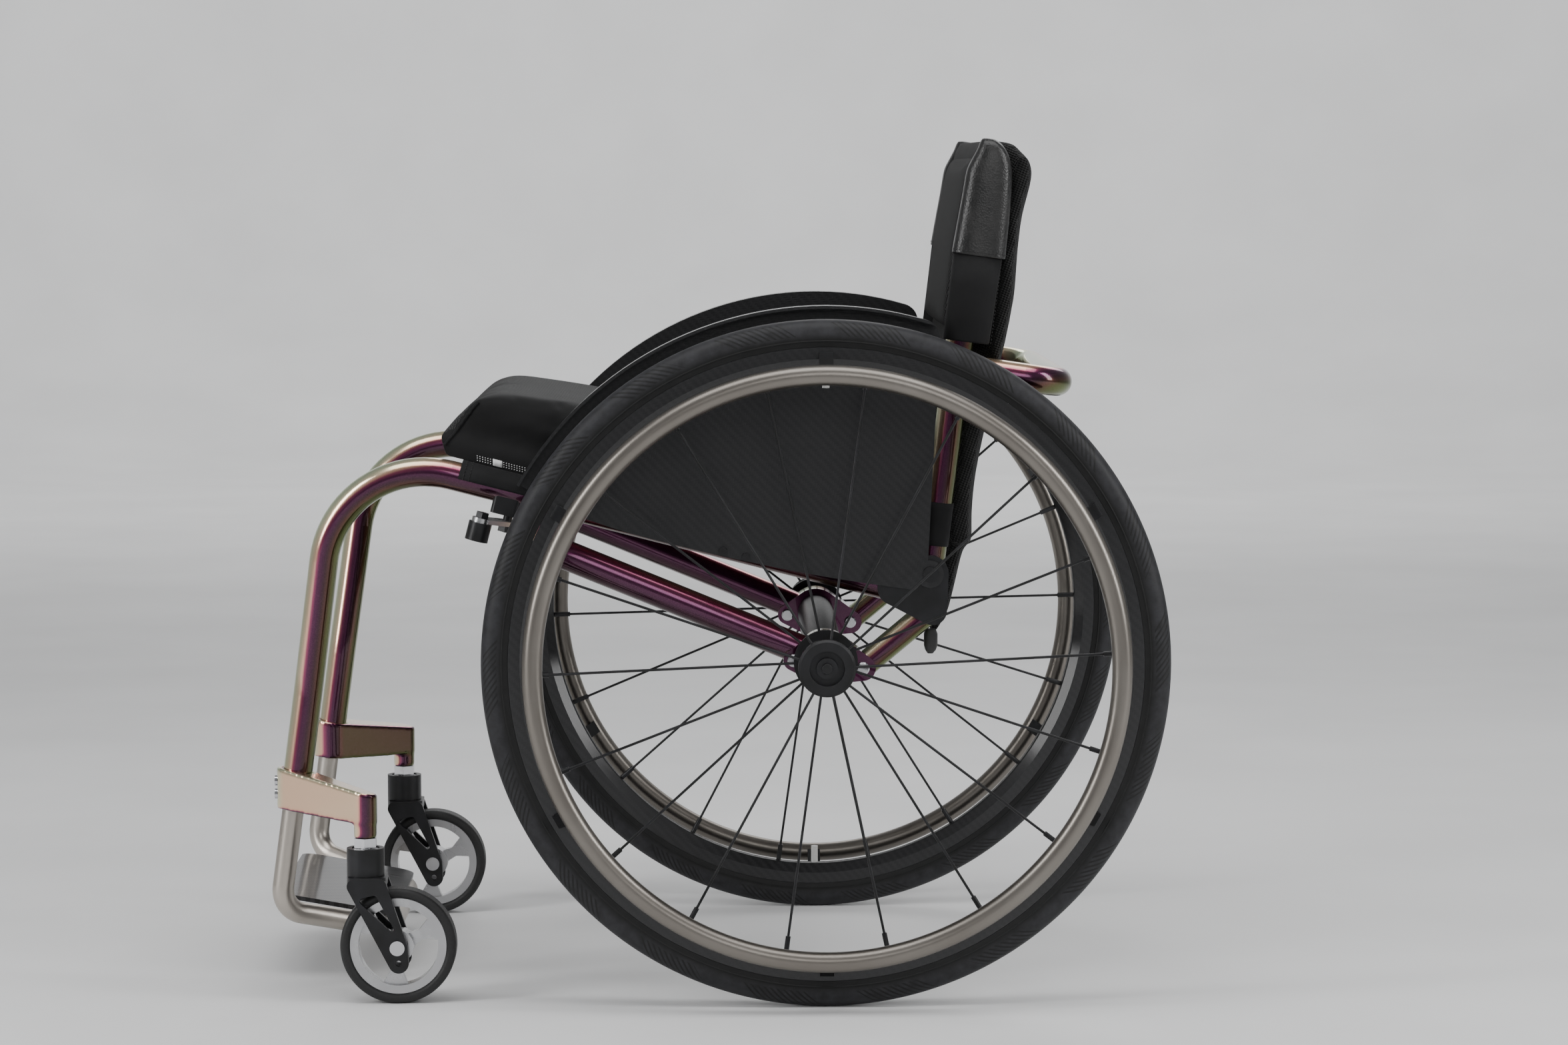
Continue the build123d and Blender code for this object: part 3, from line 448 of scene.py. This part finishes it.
def skin(name, rings, around=True, ends=True, sharp=40.0):
    """Surface through rings of points, closed round each ring and capped at both ends."""
    work = bmesh.new()
    rows = [[work.verts.new(point) for point in ring] for ring in rings]
    count = len(rows[0])
    for low, high in zip(rows, rows[1:]):
        for index in range(count if around else count - 1):
            after = (index + 1) % count
            work.faces.new((low[index], low[after], high[after], high[index]))
    if ends and around:
        work.faces.new(rows[0])
        work.faces.new(rows[-1])
    return smooth_mesh(work, name, sharp)


def turned_ring(name, profile, centre, steps):
    """Ring turned about an axle: profile points are (distance along X, radius)."""
    work = bmesh.new()
    uv = work.loops.layers.uv.new("UVMap")
    rows = []
    for step in range(steps):
        turn = math.tau * step / steps
        ring = [(x, r * math.cos(turn), r * math.sin(turn)) for x, r in profile]
        rows.append([work.verts.new(centre + Vector(point)) for point in ring])
    count = len(profile)
    for step in range(steps):
        near, far = rows[step], rows[(step + 1) % steps]
        for index in range(count):
            after = (index + 1) % count
            face = work.faces.new((near[index], near[after], far[after], far[index]))
            places = ((step, index), (step, index + 1), (step + 1, index + 1), (step + 1, index))
            for loop, (turned, across) in zip(face.loops, places):
                loop[uv].uv = (turned / steps, across / count)
    return smooth_mesh(work, name)


def merged_copy(node, name):
    """Copy of a CAD node's mesh with its loose triangles joined."""
    work = bmesh.new()
    work.from_mesh(frame["nodes"][node].data)
    bmesh.ops.remove_doubles(work, verts=work.verts, dist=1e-6)
    mesh = bpy.data.meshes.new(name)
    work.to_mesh(mesh)
    work.free()
    return mesh


def evaluated_mesh(piece):
    """Plain mesh of an object with its modifiers applied."""
    bpy.context.view_layer.update()
    shaped = piece.evaluated_get(bpy.context.evaluated_depsgraph_get())
    return bpy.data.meshes.new_from_object(shaped)


def apply_modifiers(piece):
    shaped = evaluated_mesh(piece)
    piece.modifiers.clear()
    piece.data = shaped
    for face in shaped.polygons:
        face.use_smooth = True


def remesh(piece, voxel, rounds):
    """Rebuild a piece in even quads and smooth them."""
    modifier = piece.modifiers.new("remesh", "REMESH")
    modifier.mode = "VOXEL"
    modifier.voxel_size = voxel
    relax = piece.modifiers.new("relax", "SMOOTH")
    relax.iterations = rounds
    relax.factor = 0.5
    apply_modifiers(piece)


def thicken(piece, thickness, offset=0.0):
    """Give an open surface its thickness: half to each side, or all of it inward at offset -1."""
    modifier = piece.modifiers.new("thickness", "SOLIDIFY")
    modifier.thickness = thickness
    modifier.offset = offset
    apply_modifiers(piece)


def swell(piece, reach):
    """Blow a padded piece up with cloth pressure; no point moves further than reach."""
    scene = bpy.context.scene
    rest = [vertex.co.copy() for vertex in piece.data.vertices]
    cloth = piece.modifiers.new("cloth", "CLOTH")
    cloth.settings.quality = 5
    cloth.settings.use_pressure = True
    cloth.settings.uniform_pressure_force = 4.0
    cloth.settings.effector_weights.gravity = 0.0
    cloth.settings.tension_stiffness = 12.0
    cloth.settings.compression_stiffness = 12.0
    cloth.settings.bending_stiffness = 0.4
    cloth.point_cache.frame_start = 1
    cloth.point_cache.frame_end = CLOTH_STEPS
    for step in range(1, CLOTH_STEPS + 1):
        scene.frame_set(step)
    blown = evaluated_mesh(piece)
    moved = [vertex.co.copy() for vertex in blown.vertices]
    piece.modifiers.clear()
    for vertex, start, end in zip(piece.data.vertices, rest, moved):
        shift = end - start
        vertex.co = start + shift * min(1.0, reach / max(shift.length, 1e-9))
    scene.frame_set(1)


def subdivide(piece):
    modifier = piece.modifiers.new("subdivide", "SUBSURF")
    modifier.levels = 1
    modifier.render_levels = 1
    apply_modifiers(piece)


# ---------------------------------------------------------------- repeats by Geometry Nodes


def float_input(tree, name, value):
    socket = tree.interface.new_socket(name, in_out="INPUT", socket_type="NodeSocketFloat")
    socket.default_value = value
    return socket.identifier


def bead_tree(finish):
    """Tree that sets a small rounded bead at every pitch along the piece's edges."""
    tree = bpy.data.node_groups.new("beads_along_edges", "GeometryNodeTree")
    tree.interface.new_socket("Geometry", in_out="INPUT", socket_type="NodeSocketGeometry")
    names = {name: float_input(tree, name, 0.001) for name in ("Pitch", "Length", "Width")}
    tree.interface.new_socket("Geometry", in_out="OUTPUT", socket_type="NodeSocketGeometry")
    new, link = tree.nodes.new, tree.links.new
    source = new("NodeGroupInput")
    curve = new("GeometryNodeMeshToCurve")
    spaced = new("GeometryNodeResampleCurve")
    spaced.mode = "LENGTH"
    bead = new("GeometryNodeMeshUVSphere")
    bead.inputs["Segments"].default_value = 6
    bead.inputs["Rings"].default_value = 4
    bead.inputs["Radius"].default_value = 0.5
    size = new("ShaderNodeCombineXYZ")
    tangent = new("GeometryNodeInputTangent")
    turn = new("FunctionNodeAlignRotationToVector")
    turn.axis = "X"
    spread = new("GeometryNodeInstanceOnPoints")
    real = new("GeometryNodeRealizeInstances")
    coloured = new("GeometryNodeSetMaterial")
    coloured.inputs["Material"].default_value = finish
    target = new("NodeGroupOutput")
    link(source.outputs["Geometry"], curve.inputs["Mesh"])
    link(curve.outputs["Curve"], spaced.inputs["Curve"])
    link(source.outputs["Pitch"], spaced.inputs["Length"])
    link(source.outputs["Length"], size.inputs["X"])
    link(source.outputs["Width"], size.inputs["Y"])
    link(source.outputs["Width"], size.inputs["Z"])
    link(tangent.outputs["Tangent"], turn.inputs["Vector"])
    link(spaced.outputs["Curve"], spread.inputs["Points"])
    link(bead.outputs["Mesh"], spread.inputs["Instance"])
    link(turn.outputs["Rotation"], spread.inputs["Rotation"])
    link(size.outputs["Vector"], spread.inputs["Scale"])
    link(spread.outputs["Instances"], real.inputs["Geometry"])
    link(real.outputs["Geometry"], coloured.inputs["Geometry"])
    link(coloured.outputs["Geometry"], target.inputs["Geometry"])
    return tree, names


def beads(name, paths, pitch, length, width, finish):
    """Stitches or dots along paths of points."""
    mesh = bpy.data.meshes.new(name)
    points, edges = [], []
    for path in paths:
        start = len(points)
        points += [tuple(point) for point in path]
        edges += [(start + index, start + index + 1) for index in range(len(path) - 1)]
    mesh.from_pydata(points, edges, [])
    piece = linked(name, mesh)
    tree, names = bead_tree(finish)
    modifier = piece.modifiers.new("beads", "NODES")
    modifier.node_group = tree
    for label, value in (("Pitch", pitch), ("Length", length), ("Width", width)):
        modifier[names[label]] = value
    apply_modifiers(piece)
    return piece


def cord_along(name, path, radius, finish, sides=8):
    """Thin piping swept along a path, with closed ends."""
    rings = []
    for index, point in enumerate(path):
        ahead = path[min(index + 1, len(path) - 1)] - path[max(index - 1, 0)]
        across = ahead.cross(Vector((0.3, 0.9, 0.2))).normalized()
        other = ahead.cross(across).normalized()
        rings.append(
            [
                point + (across * math.cos(turn) + other * math.sin(turn)) * radius
                for turn in (math.tau * side / sides for side in range(sides))
            ]
        )
    return linked(name, skin(name, rings, sharp=80.0), finish)


def nearest_on(piece):
    """Function that finds the closest point on a piece, pushed out by a lift."""
    tree = BVHTree.FromObject(piece, bpy.context.evaluated_depsgraph_get())

    def project(point, lift=0.0):
        place, normal = tree.find_nearest(point)[:2]
        return place + normal * lift

    return project


def between(first, second, count):
    return [first.lerp(second, index / (count - 1)) for index in range(count)]


# ---------------------------------------------------------------- wheels

# Half of the tyre's section in millimetres, from the crown: distance from the middle, and radius.
TYRE_OUTSIDE = (
    (0.0, 295.0), (3.2, 294.6), (6.2, 293.2), (8.8, 290.9), (10.7, 288.0), (11.9, 284.8),
    (12.4, 281.5), (12.3, 279.0), (12.0, 277.6), (12.25, 277.2), (12.2, 276.4), (11.7, 276.0),
    (11.3, 273.6), (11.0, 271.7),
)
TYRE_INSIDE = ((9.2, 271.7), (9.0, 274.5), (9.4, 279.0), (9.0, 283.5), (6.8, 288.5), (3.6, 291.2))
TYRE_INSIDE_CROWN = 292.0


def build_tyre(side):
    """Tyre, its section starting inside under the crown so that v = 0.5 is the tread's middle."""
    half = TYRE_OUTSIDE[1:] + TYRE_INSIDE
    near = [(x / 1000, radius / 1000) for x, radius in half]
    far = [(-x, radius) for x, radius in near]
    crown = [(0.0, TYRE_OUTSIDE[0][1] / 1000)]
    profile = [(0.0, TYRE_INSIDE_CROWN / 1000)] + far[::-1] + crown + near
    name = side + "_tyre_tread"
    piece = linked(name, turned_ring(name, profile, centre_of(side + "_tyre"), 288), TYRE)
    settle(piece, side + "_wheel", [side + "_tyre"])


def build_handrim(side):
    """Round-section handrim, smoother than the CAD one."""
    low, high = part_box(side + "_handrim")
    centre = centre_of(side + "_handrim")
    thick = (high.x - low.x) / 2
    radius = (high.z - low.z) / 2
    profile = [
        (thick * math.cos(turn), radius - thick + thick * math.sin(turn))
        for turn in (math.tau * step / 28 for step in range(28))
    ]
    name = side + "_handrim_ring"
    ring = linked(name, turned_ring(name, profile, centre, 256), HANDRIM_METAL)
    settle(ring, side + "_wheel", [side + "_handrim"])


# ---------------------------------------------------------------- seat


def sit_down(place, rear):
    """Press a cushion point on to the seat cloth, with the lower edge drawn out square."""
    base = on_seat(place.x, place.y - AXLE_Y, 0.0162).z
    lift = place.z - base
    if lift < 0.007:
        place.z = base
    if lift < 0.024 and abs(place.x) > 0.172:
        pull = min(1.0, (0.024 - lift) / 0.012)
        wide = max(abs(place.x), 0.197)
        place.x = math.copysign(abs(place.x) + (wide - abs(place.x)) * pull, place.x)
    place.x = max(-CUSHION_HALF, min(CUSHION_HALF, place.x))
    place.y = min(place.y, rear + 0.002)


def build_cushion():
    """Cushion in smooth cloth, with a knitted panel over its front."""
    piece = linked("cushion_cover", merged_copy("seat_cushion", "cushion_cover"))
    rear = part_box("seat_cushion")[1].y
    remesh(piece, 0.006, 4)
    swell(piece, 0.007)
    for vertex in piece.data.vertices:
        sit_down(vertex.co, rear)
    subdivide(piece)
    dress(piece, CLOTH, PANEL_KNIT)
    for face in piece.data.polygons:
        ahead = AXLE_Y - 0.3266 + (face.center.z - 0.4825) * 0.62 - face.center.y
        face.material_index = 1 if ahead > 0 and face.normal.y < -0.25 else 0
    settle(piece, "frame", ["seat_cushion"])
    project = nearest_on(piece)
    for side, sx in SIDES:
        build_piping(side, sx, project)
        build_dots(side, sx, project)
        build_tag(side, sx, project)


def build_piping(side, sx, project):
    """Piping up the front corner of the cushion."""
    lower = Vector((sx * 0.1985, AXLE_Y - 0.328, 0.480))
    upper = Vector((sx * 0.1965, AXLE_Y - 0.302, 0.5215))
    path = [project(point, 0.0004) for point in between(lower, upper, 24)]
    settle(cord_along(side + "_cushion_piping", path, 0.0015, CLOTH), "frame")


def build_dots(side, sx, project):
    """Three rows of small printed dots along the foot of the cushion's side."""
    rows = []
    for row in range(3):
        lift = 0.0186 + row * 0.0020
        line = between(on_seat(sx * 0.2, -0.300, lift), on_seat(sx * 0.2, 0.020, lift), 60)
        rows.append([project(point, 0.0002) for point in line])
    dots = beads(side + "_cushion_dots", rows, 0.00235, 0.0011, 0.0009, WHITE_PRINT)
    settle(dots, "frame")


def build_tag(side, sx, project):
    """Plain sewn-on tag over the rows of dots."""
    grid = []
    for lift in (0.0176, 0.0236):
        row = between(on_seat(sx * 0.2, -0.2865, lift), on_seat(sx * 0.2, -0.2785, lift), 5)
        grid.append([project(point, 0.0007) for point in row])
    name = side + "_cushion_tag"
    tag = linked(name, skin(name, grid, around=False), WHITE_PRINT)
    thicken(tag, 0.0005)
    settle(tag, "frame")


def round_tube(x, radius, angles):
    """Points round the outer side of a seat tube: distance across, and height over its centre."""
    turns = [math.radians(angle) for angle in angles]
    return [(x + radius * math.cos(turn), radius * math.sin(turn)) for turn in turns]


def build_seat_sling():
    """Seat cloth stretched over both tubes and lapped round their outer sides."""
    radius = 0.0143
    front, rear = -0.316, 0.036
    outline = round_tube(SIDE_X, radius, [-2 + 92 * step / 10 for step in range(11)])
    outline += [(SIDE_X * (1 - step / 10), radius) for step in range(1, 10)]
    outline += [(0.0, radius)] + [(-x, lift) for x, lift in reversed(outline)]
    up = Vector((0.0, math.sin(SLOPE), math.cos(SLOPE)))

    def line(y, points, sx=1):
        base = on_seat(0.0, y, 0.0)
        return [base + Vector((sx * x, 0.0, 0.0)) + up * lift for x, lift in points]

    rows = [line(front + (rear - front) * step / 24, outline) for step in range(25)]
    piece = linked("seat_cloth", skin("seat_cloth", rows, around=False), CLOTH)
    thicken(piece, 0.0024)
    settle(piece, "frame", ["seat_sling"])
    seam = round_tube(SIDE_X, 0.0158, range(2, 88, 6))
    rows = [line(front + inset, seam, sx) for sx in (1, -1) for inset in (0.004, 0.009)]
    stitches = beads("seat_cloth_stitches", rows, 0.0032, 0.0022, 0.0006, THREAD)
    settle(stitches, "frame")


# ---------------------------------------------------------------- backrest

# Rings round a back post, in millimetres: height over the pivot, front, rear and half width.
CAP_ROWS = (
    (276.5, -16.4, 30.0, 14.4), (277.5, -16.7, 30.2, 14.7), (279.5, -16.5, 30.0, 14.6),
    (292.0, -16.0, 29.7, 14.4), (310.0, -15.0, 29.3, 14.3), (330.0, -13.8, 28.3, 14.1),
    (343.0, -13.6, 27.4, 13.9), (350.8, -13.0, 26.5, 13.6), (357.0, -10.6, 25.2, 13.2),
    (364.0, -7.8, 22.8, 12.6), (370.0, -5.6, 19.0, 11.6), (374.0, -4.8, 15.4, 10.0),
    (377.0, -3.6, 11.2, 7.4), (378.6, -2.0, 7.8, 4.4),
)
CAP_HEM = (280.5, -17.1, 30.6, 15.1)
SLEEVE_ROWS = (
    (202.5, -13.9, 25.2, 13.4), (204.0, -14.6, 25.7, 13.7), (225.0, -14.8, 26.3, 13.9),
    (250.0, -15.0, 26.6, 13.9), (278.5, -15.4, 27.4, 13.9),
)
STRAP_ROWS = [(24.2 + step * 5.37, -13.0, 13.0, 13.0) for step in range(8)]

# Rings of the tail clip, in millimetres: height, front, rear and half width.
CLIP_ROWS = (
    (0.0, -4.0, 5.0, 7.0), (-4.0, -5.5, 6.5, 8.0), (-14.0, -5.5, 6.5, 8.0),
    (-18.0, -4.5, 5.0, 7.4), (-21.0, -2.5, 2.5, 5.5),
)


def squared_circle(squareness, steps):
    """Points round a unit circle drawn out towards a square; a squareness of 2 is a true circle."""
    points = []
    for step in range(steps):
        turn = math.tau * step / steps
        along = math.copysign(abs(math.cos(turn)) ** (2 / squareness), math.cos(turn))
        across = math.copysign(abs(math.sin(turn)) ** (2 / squareness), math.sin(turn))
        points.append((along, across))
    return points


def oval(x, height, front, rear, half, squareness=2.6):
    """Rounded loop round a post at one height."""
    middle, reach = (front + rear) / 2, (rear - front) / 2
    return [
        on_post(x + across * half / 1000, middle + along * reach, height)
        for along, across in squared_circle(squareness, 40)
    ]


def build_wrap(name, x, rows, squareness, thickness, offset):
    """Cloth wrapped round a back post."""
    rings = [oval(x, *row, squareness=squareness) for row in rows]
    piece = linked(name, skin(name, rings, ends=False), CLOTH)
    thicken(piece, thickness, offset)
    settle(piece, "backrest")


def build_post_covers(side, sx):
    """Leather cap over the top of a post, and a cloth sleeve and strap below it."""
    x = sx * SIDE_X
    name = side + "_leather_cap"
    cap = linked(name, skin(name, [oval(x, *row) for row in CAP_ROWS], sharp=60.0), LEATHER)
    subdivide(cap)
    settle(cap, "backrest")
    hem = oval(x, *CAP_HEM)
    stitches = beads(side + "_cap_stitches", [hem + hem[:1]], 0.0034, 0.0023, 0.0006, THREAD)
    settle(stitches, "backrest")
    build_wrap(side + "_post_sleeve", x, SLEEVE_ROWS, 2.4, 0.0012, -1.0)
    build_wrap(side + "_post_strap", x, STRAP_ROWS, 2.0, 0.0007, 0.0)
    seam = [on_post(sx * (SIDE_X + 0.0075), 26.6, height) for height in range(204, 276, 4)]
    stitches = beads(side + "_sleeve_stitches", [seam], 0.003, 0.0021, 0.0006, THREAD)
    settle(stitches, "backrest")


def build_back_pad():
    """Front pad of the back, hollowed towards the posts."""
    piece = linked("back_front_pad", merged_copy("back_cushion", "back_front_pad"))
    remesh(piece, 0.0045, 4)
    swell(piece, 0.004)
    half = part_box("back_cushion")[1].x
    for vertex in piece.data.vertices:
        edge = (abs(vertex.co.x) / half) ** 6
        top = max(0.0, vertex.co.z - 0.715) / 0.03
        vertex.co.y += 0.0035 * min(1.0, edge) + 0.002 * min(1.0, top)
    subdivide(piece)
    dress(piece, KNIT)
    settle(piece, "backrest", ["back_cushion"])


def build_back_shell():
    """Rear pad of the back with the tail that hangs under it."""
    piece = linked("back_rear_pad", merged_copy("back_sling", "back_rear_pad"))
    remesh(piece, 0.0045, 5)
    swell(piece, 0.003)
    subdivide(piece)
    dress(piece, KNIT)
    settle(piece, "backrest", ["back_sling"])


def build_tail_clip(side, sx):
    """Small moulded clip that ends the elastic under the tail of the back."""
    low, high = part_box("back_sling")
    corners = [vertex.co for vertex in frame["nodes"]["back_sling"].data.vertices]
    foot = [corner.y for corner in corners if corner.z < low.z + 0.012]
    top = Vector((sx * (high.x - 0.012), sum(foot) / len(foot), low.z + 0.010))
    rings = []
    for height, front, rear, half in CLIP_ROWS:
        middle, reach = (front + rear) / 2, (rear - front) / 2
        ring = [
            Vector((across * half, middle + along * reach, height))
            for along, across in squared_circle(10 / 3, 24)
        ]
        rings.append([top + point * 0.001 for point in ring])
    name = side + "_tail_clip"
    settle(linked(name, skin(name, rings, sharp=70.0), PLASTIC), "backrest")


def cast_arms():
    """Caster arms with the soft edges of a casting."""
    piece = linked("caster_arm_castings", merged_copy("caster_arms", "caster_arm_castings"))
    remesh(piece, 0.001, 26)
    dress(piece, PAINT)
    settle(piece, "frame", ["caster_arms"])


def dress_cad_nodes():
    """Give every CAD part its slot's finish, and dark ends to the middle of each rear wheel."""
    nodes = frame["nodes"]
    for part in frame["record"]["subparts"]:
        dress(nodes[part["node"]], SLOT_FINISH[part["material_slot"]])
    dress(nodes["footplate"], PLATE_CARBON)
    dress(nodes["axle_receivers"], ANODISED)
    for side, sx in SIDES:
        dress(nodes[side + "_release_button"], ANODISED)
        for name in (side + "_axle_pin", side + "_hub_bearings"):
            dress(nodes[name], SILVER, ANODISED)
            end = max(abs(corner.x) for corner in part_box(name))
            for face in nodes[name].data.polygons:
                if face.center.x * sx > end - DARK_END:
                    face.material_index = 1


def build_chair():
    """Make every piece, and hide the CAD parts that they cover."""
    dress_cad_nodes()
    for side, sx in SIDES:
        build_tyre(side)
        build_handrim(side)
    build_cushion()
    build_seat_sling()
    build_back_pad()
    build_back_shell()
    for side, sx in SIDES:
        build_post_covers(side, sx)
    for side, sx in SIDES:
        build_tail_clip(side, sx)
    cast_arms()
    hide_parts("post_caps")
    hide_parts("post_sleeves")


# ---------------------------------------------------------------- stage


def pale_floor():
    """Plain studio floor with a faint unevenness."""
    s = Shader("pale_floor", Roughness=0.7)
    s.color(s.ramp(s.noise(s.coords(), 3.0, 4.0), (0.3, grey(0.74)), (0.7, grey(0.80))))
    s.bump(s.noise(s.coords(), 300.0), 0.03, 0.0004)
    return s.material


def build_stage():
    """A round pale floor that curves up into a wall, wide enough for a camera on any side."""
    flat, bend, top, steps = 6.5, 2.0, 6.5, 96
    profile = [(radius, 0.0) for radius in (1.5, 4.0, flat)]
    for step in range(1, 13):
        turn = step / 12 * math.pi / 2
        profile.append((flat + bend * math.sin(turn), bend - bend * math.cos(turn)))
    profile.append((flat + bend, top))
    work = bmesh.new()
    rows = []
    for radius, height in profile:
        turns = [math.tau * step / steps for step in range(steps)]
        ring = [(radius * math.cos(turn), radius * math.sin(turn), height) for turn in turns]
        rows.append([work.verts.new(point) for point in ring])
    work.faces.new(rows[0])
    for low, high in zip(rows, rows[1:]):
        for step in range(steps):
            after = (step + 1) % steps
            work.faces.new((low[step], low[after], high[after], high[step]))
    bmesh.ops.recalc_face_normals(work, faces=work.faces)
    work.faces.ensure_lookup_table()
    if work.faces[0].normal.z < 0:
        bmesh.ops.reverse_faces(work, faces=work.faces)
    for face in work.faces:
        face.smooth = True
    mesh = bpy.data.meshes.new("floor")
    work.to_mesh(mesh)
    work.free()
    linked("floor", mesh, pale_floor())


def soft_light(name, place, aim, size, power):
    """Rectangular soft light turned towards a point."""
    data = bpy.data.lights.new(name, "AREA")
    data.shape = "RECTANGLE"
    data.size, data.size_y = size
    data.energy = power
    light = bpy.data.objects.new(name, data)
    light.location = place
    light.rotation_euler = (Vector(aim) - Vector(place)).to_track_quat("-Z", "Y").to_euler()
    bpy.context.scene.collection.objects.link(light)


def build_camera():
    """Camera square to the chair's left side, a little over it."""
    yaw, pitch, roll = 0.0132224, 0.0794187, -0.0023756
    data = bpy.data.cameras.new("camera")
    data.sensor_width = 36.0
    data.lens = 101.75
    camera = bpy.data.objects.new("camera", data)
    camera.location = (4.025, AXLE_Y - 0.0856, 0.7163)
    level = Vector((-math.cos(yaw), math.sin(yaw), 0.0)) * math.cos(pitch)
    ahead = level - Vector((0.0, 0.0, math.sin(pitch)))
    turn = ahead.to_track_quat("-Z", "Y").to_matrix() @ Matrix.Rotation(roll, 3, "Z")
    camera.rotation_euler = turn.to_euler()
    bpy.context.scene.collection.objects.link(camera)
    bpy.context.scene.camera = camera


def build_lights():
    """Soft lights over and round the chair, one on the wall behind it, and a pale sky."""
    soft_light("overhead", (0.8, 0.0, 3.0), (0.0, 0.0, 0.4), (3.2, 1.6), 52.0)
    soft_light("front_strip", (1.5, -2.6, 1.5), (0.0, -0.2, 0.4), (0.6, 2.2), 46.0)
    soft_light("rear_strip", (1.2, 2.6, 1.6), (0.0, 0.1, 0.4), (0.6, 2.2), 42.0)
    soft_light("camera_fill", (3.6, 0.6, 1.7), (0.0, 0.0, 0.4), (1.6, 1.2), 18.0)
    soft_light("far_side", (-2.6, 0.8, 2.4), (0.0, 0.0, 0.4), (2.4, 1.2), 26.0)
    soft_light("backdrop", (-4.6, 0.0, 3.4), (-8.0, 0.0, 1.0), (5.0, 1.2), 150.0)
    world = bpy.data.worlds.new("studio")
    world.use_nodes = True
    world.node_tree.nodes["Background"].inputs[0].default_value = (0.75, 0.77, 0.80, 1.0)
    world.node_tree.nodes["Background"].inputs[1].default_value = 0.3
    bpy.context.scene.world = world


build_chair()
build_stage()
build_lights()
build_camera()
